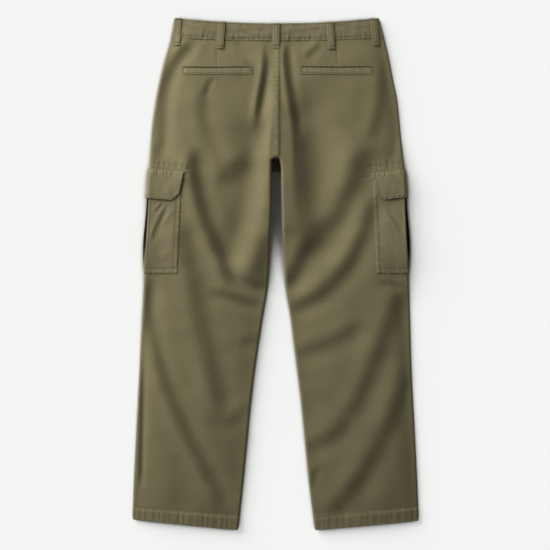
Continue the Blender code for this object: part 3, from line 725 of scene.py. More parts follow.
class Bench:
    """Adds nodes to a tree and joins them."""

    def __init__(self, tree: bpy.types.NodeTree) -> None:
        """Keeps the tree that the nodes go to."""
        self.tree = tree

    def add(self, kind: str, inputs: dict | None = None, **settings: object) -> bpy.types.Node:
        """Adds one node.

        Args:
            kind: The node's type.
            inputs: Values or other nodes' outputs for its inputs, by name or number.
            **settings: The node's own properties.

        Returns:
            The node.
        """
        node = self.tree.nodes.new(kind)
        for name, value in settings.items():
            setattr(node, name, value)
        self.fill(node, inputs or {})
        return node

    def fill(self, node: bpy.types.Node, inputs: dict) -> None:
        """Joins or sets a node's inputs, which are given by name or number.

        Args:
            node: The node.
            inputs: Values or other nodes' outputs, by name or number.
        """
        for name, value in inputs.items():
            if isinstance(value, bpy.types.NodeSocket):
                self.tree.links.new(value, node.inputs[name])
            else:
                node.inputs[name].default_value = value

    def math(self, kind: str, *values: object) -> bpy.types.NodeSocket:
        """Output of a Math node on the given values."""
        return self.add("ShaderNodeMath", dict(enumerate(values)), operation=kind).outputs[0]

    def mix(self, share: object, first: object, second: object, blend: str = "MIX") -> bpy.types.NodeSocket:
        """Output of a colour Mix node."""
        node = self.add("ShaderNodeMix", {0: share, 6: first, 7: second}, data_type="RGBA", blend_type=blend)
        return node.outputs[2]

    def dimmed(self, colour: object, share: object) -> bpy.types.NodeSocket:
        """A colour times a number."""
        grey = self.add("ShaderNodeCombineColor", {0: share, 1: share, 2: share}).outputs[0]
        return self.mix(1.0, colour, grey, "MULTIPLY")

    def noise(self, place: object, scale: float, detail: float = 2.0) -> bpy.types.NodeSocket:
        """Value of a noise at a place."""
        sizes = {"Vector": place, "Scale": scale, "Detail": detail}
        return self.add("ShaderNodeTexNoise", sizes).outputs["Fac"]

    def bump(self, height: object, distance: float, strength: float) -> bpy.types.NodeSocket:
        """Normal of a surface with a fine relief."""
        relief = {"Height": height, "Distance": distance, "Strength": strength}
        return self.add("ShaderNodeBump", relief).outputs[0]

    def stored(self, name: str) -> bpy.types.NodeSocket:
        """Value that the mesh stores at its points."""
        return self.add("ShaderNodeAttribute", attribute_name=name).outputs["Fac"]

    def object_place(self) -> bpy.types.NodeSocket:
        """Place in the object's own frame."""
        return self.add("ShaderNodeTexCoord").outputs["Object"]


Colour = tuple[float, float, float]


def solid(colour: Colour) -> tuple[float, float, float, float]:
    """A colour with full opacity."""
    return (*colour, 1.0)


def blank_material(name: str) -> tuple[bpy.types.Material, Bench, bpy.types.Node]:
    """A new material, the bench of its nodes and its shader.

    Args:
        name: The material's name.

    Returns:
        The material, its bench and its shader.
    """
    made = bpy.data.materials.new(name)
    made.use_nodes = True
    return made, Bench(made.node_tree), made.node_tree.nodes["Principled BSDF"]


# Period in metres of a wave texture whose scale is 1
WAVE_PERIOD = 0.314


@dataclass(frozen=True)
class TwillFinish:
    """Washed cotton twill: its dye, the pitch of its wales, a tone lighter to the upper left, paleness from
    wear at edges and from painted highlight, and painted shade in seams.

    Fields that end in `tone` are a slope and a start, which turn a noise into a share of the colour.
    """

    name: str
    colour: Colour = (0.158, 0.138, 0.07)
    # Colour mixed in where the cloth is worn and where a highlight is painted
    paler: Colour = (0.225, 0.202, 0.118)
    weft: Colour = (0.205, 0.184, 0.102)
    # The colour's tone rises towards the upper left and falls towards the lower right: its slope over the
    # object's place, and its value at the middle
    tone_slope: tuple[float, float, float] = (-0.3, 0.36, 0.0)
    tone_at_middle: float = 0.8
    wale: float = 1.05
    wale_angle: float = 62.0
    roughness: float = 0.9
    weave_depth: float = 0.00012
    mottle: float = 0.22
    gloss: float = 0.12
    nap: float = 0.05
    nap_roughness: float = 0.5
    nap_tint: Colour = (0.75, 0.72, 0.6)
    yarn_scale: float = 950.0
    slub_scale: float = 260.0
    wash_scale: float = 14.0
    weft_share: float = 0.22
    yarn_tone: tuple[float, float] = (0.9, 0.55)
    wash_tone: tuple[float, float] = (0.24, 0.88)
    paler_tone: tuple[float, float] = (0.9, 0.3)
    # Share by which full painted shade darkens the colour
    deepest: float = 0.8
    wale_relief: float = 0.7
    yarn_relief: float = 0.6
    weave_strength: float = 0.6

    def wales(self, bench: Bench, cut: bpy.types.NodeSocket) -> bpy.types.NodeSocket:
        """The twill's slanting ribs, on the piece's cut.

        Args:
            bench: Bench of the material.
            cut: Place on the cut.

        Returns:
            Their height, from 0 to 1.
        """
        turn = (0.0, 0.0, math.radians(self.wale_angle))
        turned = bench.add("ShaderNodeMapping", {"Vector": cut, "Rotation": turn}).outputs[0]
        ribs = {"Vector": turned, "Scale": WAVE_PERIOD / (self.wale * MM)}
        uneven = {"Distortion": 1.1, "Detail": 2.0, "Detail Scale": 1.6}
        return bench.add("ShaderNodeTexWave", ribs | uneven).outputs["Fac"]

    def material(self) -> bpy.types.Material:
        """Builds the material.

        Returns:
            The material.
        """
        made, bench, shader = blank_material(self.name)
        cut = bench.add("ShaderNodeUVMap", uv_map=CUT_MAP).outputs[0]
        place = bench.object_place()
        wale = self.wales(bench, cut)
        yarn = bench.noise(cut, self.yarn_scale, 3.0)
        slub = bench.noise(cut, self.slub_scale, 4.0)
        wash = bench.noise(place, self.wash_scale, 5.0)

        weft = bench.math("MULTIPLY", wale, self.weft_share)
        colour = bench.mix(weft, solid(self.colour), solid(self.weft))
        grain = bench.math("MULTIPLY_ADD", slub, 2.0 * self.mottle, 1.0 - self.mottle)
        grain = bench.math("MULTIPLY", grain, bench.math("MULTIPLY_ADD", yarn, *self.yarn_tone))
        grain = bench.math("MULTIPLY", grain, bench.math("MULTIPLY_ADD", wash, *self.wash_tone))
        # Tone that rises towards the upper left and falls towards the lower right
        paler = bench.add("ShaderNodeVectorMath", {0: place, 1: self.tone_slope}, operation="DOT_PRODUCT")
        grain = bench.math("MULTIPLY", grain, bench.math("ADD", paler.outputs["Value"], self.tone_at_middle))
        colour = bench.dimmed(colour, grain)
        # Paler where the cloth is worn, and where a highlight is painted on the ridges of gathers and the
        # lips of pleats
        paler_share = bench.math("MULTIPLY_ADD", slub, *self.paler_tone)
        paler_share = bench.math("MULTIPLY", bench.stored("wear_and_highlight"), paler_share)
        colour = bench.mix(paler_share, colour, solid(self.paler))
        # Painted shade: the stored painted_shade darkens the colour in seams, creases, slits and under edges
        shade = bench.math("SUBTRACT", 1.0, bench.math("MULTIPLY", bench.stored("painted_shade"), self.deepest))

        wale_relief = bench.math("MULTIPLY", wale, self.wale_relief)
        relief = bench.math("ADD", wale_relief, bench.math("MULTIPLY", yarn, self.yarn_relief))
        looks = {
            "Base Color": bench.dimmed(colour, shade),
            "Normal": bench.bump(relief, self.weave_depth, self.weave_strength),
            "Roughness": self.roughness,
            "Specular IOR Level": self.gloss,
            "Sheen Weight": self.nap,
            "Sheen Roughness": self.nap_roughness,
            "Sheen Tint": solid(self.nap_tint),
        }
        bench.fill(shader, looks)
        return made


@dataclass(frozen=True)
class ThreadFinish:
    """Matte sewing thread, twisted from strands."""

    name: str = "sewing_thread"
    colour: Colour = (0.175, 0.153, 0.083)
    dark: Colour = (0.11, 0.095, 0.05)
    strand_scale: float = 2600.0
    strand_depth: float = 0.0001
    strand_strength: float = 0.5
    roughness: float = 0.75
    gloss: float = 0.25

    def material(self) -> bpy.types.Material:
        """Builds the material.

        Returns:
            The material.
        """
        made, bench, shader = blank_material(self.name)
        strand = bench.noise(bench.object_place(), self.strand_scale)
        looks = {
            "Base Color": bench.mix(strand, solid(self.dark), solid(self.colour)),
            "Normal": bench.bump(strand, self.strand_depth, self.strand_strength),
            "Roughness": self.roughness,
            "Specular IOR Level": self.gloss,
        }
        bench.fill(shader, looks)
        return made


@dataclass(frozen=True)
class HardFinish:
    """Metal or plastic with fine scratches."""

    name: str
    colour: Colour
    worn: Colour
    roughness: float
    metallic: float
    patch_scale: float = 420.0
    scratch_scale: float = 3000.0
    scratch_stretch: tuple[float, float, float] = (1.0, 0.12, 1.0)
    scratch_depth: float = 0.00005
    scratch_strength: float = 0.3
    roughness_range: float = 0.2

    def material(self) -> bpy.types.Material:
        """Builds the material.

        Returns:
            The material.
        """
        made, bench, shader = blank_material(self.name)
        place = bench.object_place()
        patch = bench.noise(place, self.patch_scale, 4.0)
        drawn = bench.add("ShaderNodeMapping", {"Vector": place, "Scale": self.scratch_stretch}).outputs[0]
        scratch = bench.noise(drawn, self.scratch_scale)
        least = self.roughness - self.roughness_range / 2.0
        looks = {
            "Base Color": bench.mix(patch, solid(self.colour), solid(self.worn)),
            "Roughness": bench.math("MULTIPLY_ADD", scratch, self.roughness_range, least),
            "Normal": bench.bump(scratch, self.scratch_depth, self.scratch_strength),
            "Metallic": self.metallic,
        }
        bench.fill(shader, looks)
        return made


def linked(name: str, data: object) -> bpy.types.Object:
    """A new object in the scene that shows the given data.

    Args:
        name: The object's name.
        data: What it shows.

    Returns:
        The object.
    """
    made = bpy.data.objects.new(name, data)
    bpy.context.scene.collection.objects.link(made)
    return made


def tidy_count(places: Array) -> Array:
    """The places with one more halfway in the last gap where their number is even.

    Args:
        places: Places in order.

    Returns:
        An odd number of places.
    """
    if len(places) % 2:
        return places
    return np.insert(places, -1, (places[-2] + places[-1]) / 2.0)


def grid_normals(points: Array, outward: Sequence[float]) -> Array:
    """Unit normals of a grid of points.

    Args:
        points: Rows and columns of points.
        outward: A direction on the normals' side at the grid's middle.

    Returns:
        The normals.
    """
    normals = np.cross(np.gradient(points, axis=0), np.gradient(points, axis=1))
    normals /= np.maximum(np.linalg.norm(normals, axis=-1, keepdims=True), 1e-9)
    middle = normals[normals.shape[0] // 2, normals.shape[1] // 2]
    return normals if middle @ np.asarray(outward) > 0.0 else -normals


def ring_of(rows: int, columns: int) -> list[int]:
    """Numbers of the points round a grid's border, in order.

    Args:
        rows: The grid's rows.
        columns: The grid's columns.

    Returns:
        The numbers.
    """
    ring = list(range(columns))
    ring += [i * columns + columns - 1 for i in range(1, rows)]
    ring += [(rows - 1) * columns + j for j in range(columns - 2, -1, -1)]
    ring += [i * columns for i in range(rows - 2, 0, -1)]
    return ring


def quads_of(rows: int, columns: int) -> Array:
    """Corner numbers of a grid's faces."""
    start = (np.arange(rows - 1)[:, None] * columns + np.arange(columns - 1)).ravel()
    return np.column_stack((start, start + 1, start + columns + 1, start + columns))


@dataclass
class Cloth:
    """A piece of cloth with its thickness, as a closed wall whose inside has half as many points each way.

    Both faces are drawn in by `rim` of the thickness at the border. The finish reads `wear_and_highlight`,
    paleness from wear and painted highlight, and `painted_shade`.
    """

    name: str
    outside: Array
    thickness: float | Array
    outward: tuple[float, float, float]
    wear_and_highlight: float | Array = 0.0
    painted_shade: float | Array = 0.0
    rim: float = 0.28

    def cut(self) -> Array:
        """Place of each point on the flat cloth, in metres, from the middle of its first row.

        Returns:
            The places, each with how far it lies across and along.
        """
        rows, columns = self.outside.shape[:2]
        middle = columns // 2
        across = np.linalg.norm(np.diff(self.outside, axis=1), axis=-1)
        u = np.concatenate((np.zeros((rows, 1)), np.cumsum(across, 1)), 1)
        u -= u[:, middle : middle + 1]
        down = np.linalg.norm(np.diff(self.outside[:, middle], axis=0), axis=-1)
        v = np.concatenate(((0.0,), np.cumsum(down)))
        return np.stack((u, np.broadcast_to(-v[:, None], u.shape)), -1) * MM

    def make(self, finish: bpy.types.Material) -> bpy.types.Object:
        """Makes the piece's object, with its cut as a UV map.

        Args:
            finish: The piece's material.

        Returns:
            The object.
        """
        rows, columns = self.outside.shape[:2]
        normals = grid_normals(self.outside, self.outward)
        wall = np.broadcast_to(np.asarray(self.thickness, float), (rows, columns))[..., None]
        border = np.zeros((rows, columns, 1))
        border[[0, -1]] = 1.0
        border[:, [0, -1]] = 1.0
        inside = self.outside - normals * wall
        inside = (inside + normals * wall * self.rim * border)[::2, ::2]
        outside = self.outside - normals * wall * self.rim * border

        coarse = inside.shape[:2]
        count = rows * columns
        faces = quads_of(rows, columns).tolist()
        faces += (quads_of(*coarse)[:, ::-1] + count).tolist()
        fine_ring = ring_of(rows, columns)
        coarse_ring = [count + i for i in ring_of(*coarse)]
        fine_ring.append(fine_ring[0])
        coarse_ring.append(coarse_ring[0])
        for i, (first, second) in enumerate(zip(coarse_ring, coarse_ring[1:])):
            start, middle, end = fine_ring[2 * i : 2 * i + 3]
            faces.append([end, middle, start, first, second])
        points = np.concatenate((outside.reshape(-1, 3), inside.reshape(-1, 3))) * MM
        cut = self.cut()
        places = np.concatenate((cut.reshape(-1, 2), cut[::2, ::2].reshape(-1, 2)))
        shades = {}
        for label, value in (("wear_and_highlight", self.wear_and_highlight), ("painted_shade", self.painted_shade)):
            value = np.broadcast_to(np.asarray(value, float), (rows, columns))
            shades[label] = np.concatenate((value.ravel(), value[::2, ::2].ravel() * 0.5))
        return mesh_object(self.name, points, faces, finish, places, shades)


# Edges that turn by more than this stay sharp
CRISP = math.radians(50.0)


def mesh_object(
    name: str,
    points: Array,
    faces: list[list[int]],
    finish: bpy.types.Material,
    places: Array,
    shades: dict[str, Array],
) -> bpy.types.Object:
    """Makes a mesh object whose faces look out.

    Args:
        name: The object's name.
        points: Its points, in metres.
        faces: Its faces, all wound the same way.
        finish: Its material.
        places: A place on the cut for each point, in metres.
        shades: Values for each point that the finish reads.

    Returns:
        The object, which is in the scene.
    """
    fans = [(f[0], f[i], f[i + 1]) for f in faces for i in range(1, len(f) - 1)]
    a, b, c = (points[np.array(corner)] for corner in zip(*fans))
    if np.einsum("ij,ij->i", a, np.cross(b, c)).sum() < 0.0:
        faces = [f[::-1] for f in faces]
    mesh = bpy.data.meshes.new(name)
    mesh.from_pydata(points.tolist(), [], faces)
    mesh.materials.append(finish)
    mesh.polygons.foreach_set("use_smooth", np.ones(len(mesh.polygons), bool))
    mesh.set_sharp_from_angle(angle=CRISP)
    corners = np.zeros(len(mesh.loops), np.int32)
    mesh.loops.foreach_get("vertex_index", corners)
    layer = mesh.uv_layers.new(name=CUT_MAP)
    layer.uv.foreach_set("vector", places[corners].astype(np.float32).ravel())
    for label, value in shades.items():
        attribute = mesh.attributes.new(label, "FLOAT", "POINT")
        attribute.data.foreach_set("value", value.astype(np.float32))
    return linked(name, mesh)


@dataclass(frozen=True)
class Stitch:
    """Sizes of the stitches in a row, with their turn from its heading in degrees."""

    pitch: float = 3.3
    length: float = 2.7
    thick: float = 0.62
    turn: float = 0.0


TOPSTITCH = Stitch()
LOOP_STITCH = Stitch(pitch=3.0, length=2.4, thick=0.5)
BARTACK = Stitch(pitch=0.6, length=2.6, thick=0.55, turn=90.0)


def plain_copy(guide: bpy.types.Object, name: str) -> bpy.types.Object:
    """Replaces an object with modifiers by a plain mesh of what they make.

    Args:
        guide: The object, which is removed.
        name: Name of the new one.

    Returns:
        The new object.
    """
    shown = guide.evaluated_get(bpy.context.evaluated_depsgraph_get())
    mesh = bpy.data.meshes.new_from_object(shown)
    guide.modifiers.clear()
    bpy.data.objects.remove(guide)
    mesh.name = name
    return linked(name, mesh)


def report(piece: bpy.types.Object) -> None:
    """Logs a finished piece."""
    LOG.info("%s: %d faces", piece.name, len(piece.data.polygons))


class RowTree:
    """A Geometry Nodes tree that sets one thing again and again along rows of points."""

    def __init__(self, name: str, kinds: dict[str, str]) -> None:
        """Opens the tree with its named inputs, of the given kinds.

        Args:
            name: The tree's name.
            kinds: Kind of each input, by the input's name.
        """
        self.tree = bpy.data.node_groups.new(name, "GeometryNodeTree")
        face = self.tree.interface
        face.new_socket("Geometry", in_out="INPUT", socket_type="NodeSocketGeometry")
        self.sockets = {
            label: face.new_socket(label, in_out="INPUT", socket_type=f"NodeSocket{kind}").identifier
            for label, kind in kinds.items()
        }
        face.new_socket("Geometry", in_out="OUTPUT", socket_type="NodeSocketGeometry")
        self.bench = Bench(self.tree)
        self.given = self.bench.add("NodeGroupInput").outputs

    def close(self, thing: bpy.types.Node, finish: bpy.types.Material, **placing: object) -> None:
        """Sets the thing along the rows, one at each pitch, as real mesh.

        Args:
            thing: The node that makes it.
            finish: Its material.
            **placing: Further inputs of the node that sets it.
        """
        add, given = self.bench.add, self.given
        rows = add("GeometryNodeMeshToCurve", {0: given["Geometry"]}).outputs[0]
        spaced = add("GeometryNodeResampleCurve", {"Curve": rows, "Length": given["Pitch"]}, mode="LENGTH")
        places = {"Points": spaced.outputs[0], "Instance": thing.outputs[0]}
        laid = add("GeometryNodeInstanceOnPoints", places | placing)
        real = add("GeometryNodeRealizeInstances", {0: laid.outputs[0]})
        dyed = add("GeometryNodeSetMaterial", {"Geometry": real.outputs[0], "Material": finish})
        add("NodeGroupOutput", {0: dyed.outputs[0]})

    def run(self, name: str, slot: str, rows: Sequence[Array], values: dict[str, object]) -> bpy.types.Object:
        """Makes what the tree sets along some rows.

        Args:
            name: The object's name.
            slot: Not used.
            rows: Runs of points, in millimetres.
            values: Values of the tree's inputs.

        Returns:
            One plain mesh object, which rides on the body.
        """
        points, edges = [], []
        for row in rows:
            start = len(points)
            points += (np.asarray(row) * MM).tolist()
            edges += [(i, i + 1) for i in range(start, len(points) - 1)]
        mesh = bpy.data.meshes.new(name)
        mesh.from_pydata(points, edges, [])
        guide = linked(name + "_guide", mesh)
        modifier = guide.modifiers.new("rows", "NODES")
        modifier.node_group = self.tree
        for label, value in values.items():
            modifier[self.sockets[label]] = value
        bpy.context.view_layer.update()
        made = plain_copy(guide, name)
        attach(made, BODY)
        report(made)
        return made


class Sewing:
    """Lays stitches along rows of points, each turned out of its row by up to `LEAN` radians."""

    LEAN = 0.1

    def __init__(self, thread: bpy.types.Material) -> None:
        """Builds the tree that all the rows share: a bead for each stitch, turned along its row.

        Args:
            thread: The stitches' material.
        """
        kinds = {"Pitch": "Float", "Length": "Float", "Thick": "Float", "Turn": "Float", "Seed": "Int"}
        self.rows = RowTree("stitch_row", kinds)
        bench, given = self.rows.bench, self.rows.given
        size = {0: given["Length"], 1: given["Thick"], 2: given["Thick"]}
        size = bench.add("ShaderNodeCombineXYZ", size).outputs[0]
        bead = bench.add("GeometryNodeMeshUVSphere", {"Segments": 6, "Rings": 4, "Radius": 0.5})
        bead = bench.add("GeometryNodeTransform", {"Geometry": bead.outputs[0], "Scale": size})
        bead = bench.add("GeometryNodeSetShadeSmooth", {0: bead.outputs[0]})
        tangent = bench.add("GeometryNodeInputTangent").outputs[0]
        heading = bench.add("FunctionNodeAlignRotationToVector", {"Vector": tangent}, axis="X").outputs[0]
        leans = {2: -self.LEAN, 3: self.LEAN, "Seed": given["Seed"]}
        lean = bench.add("FunctionNodeRandomValue", leans, data_type="FLOAT").outputs[1]
        turn = bench.add("ShaderNodeCombineXYZ", {2: bench.math("ADD", lean, given["Turn"])}).outputs[0]
        turn = bench.add("FunctionNodeEulerToRotation", {0: turn}).outputs[0]
        turned = bench.add("FunctionNodeRotateRotation", {0: heading, 1: turn}, rotation_space="LOCAL")
        self.rows.close(bead, thread, Rotation=turned.outputs[0])

    def sew(self, name: str, rows: list[Array], seed: int, stitch: Stitch = TOPSTITCH) -> bpy.types.Object:
        """Sews rows of stitches.

        Args:
            name: The object's name.
            rows: Runs of points, in millimetres.
            seed: Which pattern of uneven stitches.
            stitch: The stitches' sizes.

        Returns:
            One plain mesh object with all the stitches.
        """
        sizes = {
            "Pitch": stitch.pitch * MM,
            "Length": stitch.length * MM,
            "Thick": stitch.thick * MM,
            "Turn": math.radians(stitch.turn),
            "Seed": seed,
        }
        return self.rows.run(name, "thread", rows, sizes)


class Cut(NamedTuple):
    """The flat size of a piece of cloth, in metres and square metres."""

    width: float
    length: float
    area: float


def lay(
    piece: bpy.types.Object,
    node: str | None,
) -> None:
    """Attaches a piece of cloth that lies on others to the body, hides its solid and logs it.

    Args:
        piece: The cloth.
        node: The solid that it stands for.
    """
    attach(piece, BODY)
    if node:
        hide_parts(node)
    report(piece)


# Distance between the points of a row of stitches that is drawn over a panel
STITCH_STEP = 1.5


@dataclass
class Workshop:
    """What every sub-assembly needs: the garment's shape, the finishes and the sewing."""

    garment: Garment
    twill: bpy.types.Material
    band_twill: bpy.types.Material
    # Pocket cloth, made lighter than the legs' twill as painted light
    pocket_twill: bpy.types.Material
    tape: bpy.types.Material
    brass: bpy.types.Material
    plastic: bpy.types.Material
    sewing: Sewing


@dataclass
class BackPanels:
    """The two back panels with their rolled edges, and the felled seam between them.

    `stops` are the levels at which the steps between rows of points change.
    """

    shop: Workshop
    top_y: float = 492.1
    stops: tuple[float, ...] = (256.0, 210.0, -470.0)
    row_steps: tuple[float, ...] = (2.7, 1.7, 2.7, 1.8)
    top_columns: int = 99
    dart_share: float = 0.444
    dart_columns: tuple[float, ...] = (-0.014, -0.007, -0.0035, 0.0035, 0.007, 0.014)
    roll_steps: int = 8
    flange_drop: float = 8.0
    hem_wear: float = 0.55
    stitch_wear: float = 0.2
    # Painted shade along the hem's stitch line and under the waistband's lower edge
    stitch_shade: float = 0.2
    band_shade: float = 0.2
    fade: float = 1.6
    cut: Cut = Cut(0.31, 1.09, 0.3)
    seam_left: float = -4.4
    seam_right: float = 8.0
    seam_top_y: float = 491.9
    seam_turn_y: float = 256.0
    seam_end_y: float = 239.0
    seam_steps: tuple[float, float] = (1.6, 1.3)
    seam_columns: int = 15
    seam_cloth: float = 0.9
    seam_rise: tuple[float, float, float] = (0.25, 1.1, 0.3)
    seam_tuck: float = 8.0
    left_row: float = 2.0
    right_row: float = 2.2
    row_half: float = 0.8
    row_depth: float = 0.6
    left_gather: float = 0.5
    right_gather: float = 0.35
    seam_cut: Cut = Cut(0.014, 0.25, 0.0035)

    def levels(self, side: Side) -> Array:
        """Levels of the rows of points.

        Args:
            side: Which leg.

        Returns:
            The levels, from high to low.
        """
        ends = (self.top_y, *self.stops, self.shop.garment.hem_y(side))
        counts = [round((a - b) / step) for a, b, step in zip(ends, ends[1:], self.row_steps)]
        counts[-1] += 1
        return tidy_count(runs(ends, counts))

    def section(self, side: Side) -> tuple[Array, Array, Array]:
        """Grid of the panel's outside.

        Args:
            side: Which panel.

        Returns:
            The points, their levels and their reaches.
        """
        garment = self.shop.garment
        way, roll = side.inward, garment.roll_width
        level = self.levels(side)[:, None]
        share = garment.leg_share(level)
        width = garment.width(side, level)
        near_dart = self.dart_share + np.array(self.dart_columns)
        places = np.unique(np.concatenate((np.linspace(0.0, 1.0, self.top_columns), near_dart)))
        reach = roll + tidy_count(places) * (width - roll * (1.0 + share))
        top = garment.top(side, level, reach)
        turn = np.linspace(-0.5 * math.pi, 0.5 * math.pi, self.roll_steps + 1)[:-1]
        bend = roll * (1.0 - np.cos(turn)) * np.ones_like(level)

        base = garment.floor_lift(level, 0.0) + garment.cloth_at(level) + garment.seam_gap
        half = (top[:, :1, 2] - base) / 2.0
        outer = np.stack((*garment.spread(side, level, bend), base + half * (1.0 + np.sin(turn))), -1)
        under = roll + garment.lap * np.array((1.0, 0.5)) * np.ones_like(level)
        lap = np.stack((*garment.spread(side, level, under), base * np.ones_like(under)), -1)

        base = garment.floor_lift(level, garment.pocket_lift_none) + garment.cloth_at(level)
        base = base + garment.seam_gap
        half = (top[:, -1:, 2] - base) / 2.0
        bend = np.concatenate((bend[:, ::-1], under[:, ::-1]), 1)
        rise = np.concatenate((1.0 + np.sin(turn[::-1]), (0.0, 0.0)))
        drop = self.flange_drop * np.arange(1, len(rise) + 1) / len(rise)
        z = share * (base + half * rise) + (1.0 - share) * (top[:, -1:, 2] - drop)
        slope = (garment.outline(side, "inner_y", level) - level) / width
        x = garment.outline(side, "inner_x", level) - way * share * bend
        y = garment.outline(side, "inner_y", level) - slope * share * bend
        inner = np.stack((x, y, z), -1)
        points = np.concatenate((lap, outer, top, inner), 1)
        reaches = np.concatenate((0.0 * lap[..., 0], 0.0 * outer[..., 0], reach, width + 0.0 * x), 1)
        return points, level * np.ones(points.shape[:2]), reaches

    def make_panel(self, side: Side) -> bpy.types.Object:
        """Makes one back panel.

        Args:
            side: Which leg.

        Returns:
            The panel.
        """
        garment = self.shop.garment
        points, level, reach = self.section(side)
        above = level - garment.hem_y(side)
        stitch = garment.hem_stitch(side, reach, level)
        wear_and_highlight = self.hem_wear * np.exp(-above / self.fade)
        wear_and_highlight = wear_and_highlight + self.stitch_wear * hump(above - stitch + 3.0, 2.0)
        below_band = garment.band_low_y - garment.seam_gap + 0.1 - level
        # Painted shade in the hem's stitch line and under the waistband's lower edge
        painted_shade = self.stitch_shade * hump(above - stitch, 1.0)
        painted_shade = painted_shade + self.band_shade * np.exp(-below_band / self.fade)
        name = f"cloth_back_{side.value}"
        return Cloth(name, points, garment.cloth_at(level), UP, wear_and_highlight, painted_shade).make(self.shop.twill)

    def hem_row(self, side: Side) -> Array:
        """The run of stitches round a hem.

        Args:
            side: Which leg.

        Returns:
            The run's points.
        """
        garment = self.shop.garment
        hem = garment.hem_y(side)
        width = float(garment.width(side, np.array(hem)))
        reach = np.arange(garment.roll_width, width - garment.roll_width, STITCH_STEP)
        above = garment.hem_stitch(side, reach, np.full(reach.shape, hem))
        return raised(garment.top(side, hem + above, reach), 0.1)

    def seam_points(self) -> tuple[Array, Array]:
        """Grid of the felled seam's outside, and how near each point is to its rows of stitches.

        Returns:
            The points, and 1 in a row of stitches, falling to 0 away from it.
        """
        first, second = self.seam_steps
        upper = np.arange(self.seam_top_y, self.seam_turn_y, -first)
        lower = np.arange(self.seam_turn_y, self.seam_end_y, -second)
        y = tidy_count(np.concatenate((upper, lower)))[:, None]
        share = np.linspace(0.0, 1.0, self.seam_columns)[None, :]
        x = self.seam_left + (self.seam_right - self.seam_left) * share + 0.0 * y
        from_left, from_right = x - self.seam_left, self.seam_right - x
        left, right = self.shop.garment.centre_heights(x, y + 0.0 * x)
        ground = left + (right - left) * smoothstep((x + 1.0) / 6.0)
        least, step, slope = self.seam_rise
        rise = least + step * smoothstep(share / 0.22) + slope * share
        groove = hump(from_left - self.left_row, self.row_half)
        groove = groove + hump(from_right - self.right_row, self.row_half)
        rise = rise - self.row_depth * groove
        rise = rise + self.left_gather * pucker(y, 5.4, 21) * (hump(from_left - 3.6, 1.8) + 0.25)
        rise = rise + self.right_gather * pucker(y, 5.0, 22) * hump(from_right - 3.6, 1.6)
        tuck = smoothstep(1.0 - (y - self.seam_end_y) / self.seam_tuck)
        z = ground + rise - self.seam_tuck * tuck**2
        return np.stack((x, y + 0.0 * x, z), -1), groove

    def make_seam(self) -> bpy.types.Object:
        """Makes the felled seam of the seat.

        Returns:
            The seam.
        """
        points, groove = self.seam_points()
        x, y = points[..., 0], points[..., 1]
        # Painted shade in the rows' grooves and along the seam's folded right edge
        painted_shade = 0.35 * groove + hump(x - self.seam_right, 0.7) * (0.25 + 0.35 * smoothstep((440.0 - y) / 60.0))
        wear_and_highlight = 0.35 * hump(x - self.seam_right + 1.2, 0.9) + 0.3 * hump(x - self.seam_left - 4.5, 1.6)
        return Cloth("cloth_seat_seam", points, self.seam_cloth, UP, wear_and_highlight, painted_shade).make(self.shop.twill)

    def seam_rows(self) -> list[Array]:
        """The two runs of stitches along the felled seam.

        Returns:
            Runs of points, in millimetres.
        """
        points, _ = self.seam_points()
        places = (self.seam_left + self.left_row, self.seam_right - self.right_row)
        return [raised(points[:-4, nearest(points[0, :, 0], x)], 0.15) for x in places]

    def crease_rows(self, side: Side) -> list[Array]:
        """The runs of stitches that hold a cargo pocket to its panel.

        Args:
            side: Which leg.

        Returns:
            Runs of points, in millimetres.
        """
        rows = []
        for crease in POCKET_LINES:
            start, end = crease.ends
            if start[0] * side.inward > 0.0:
                continue
            count = 2 + int(np.hypot(*(end - start)) / STITCH_STEP)
            x, y = (start + (end - start) * np.linspace(0.0, 1.0, count)[:, None]).T
            rows.append(np.column_stack((x, y, self.shop.garment.height(side, x, y) + 0.12)))
        return rows

    def build(self) -> None:
        sewing = self.shop.sewing
        seam = self.make_seam()
        stitches = sewing.sew("stitches_seat_seam", self.seam_rows(), seed=3)
        lay(seam, None)
        for side in Side:
            name = f"back_{side.value}"
            panel = self.make_panel(side)
            rows = [self.hem_row(side)] + self.crease_rows(side)
            stitches = sewing.sew(f"stitches_{name}", rows, seed=5)
            lay(panel, name)


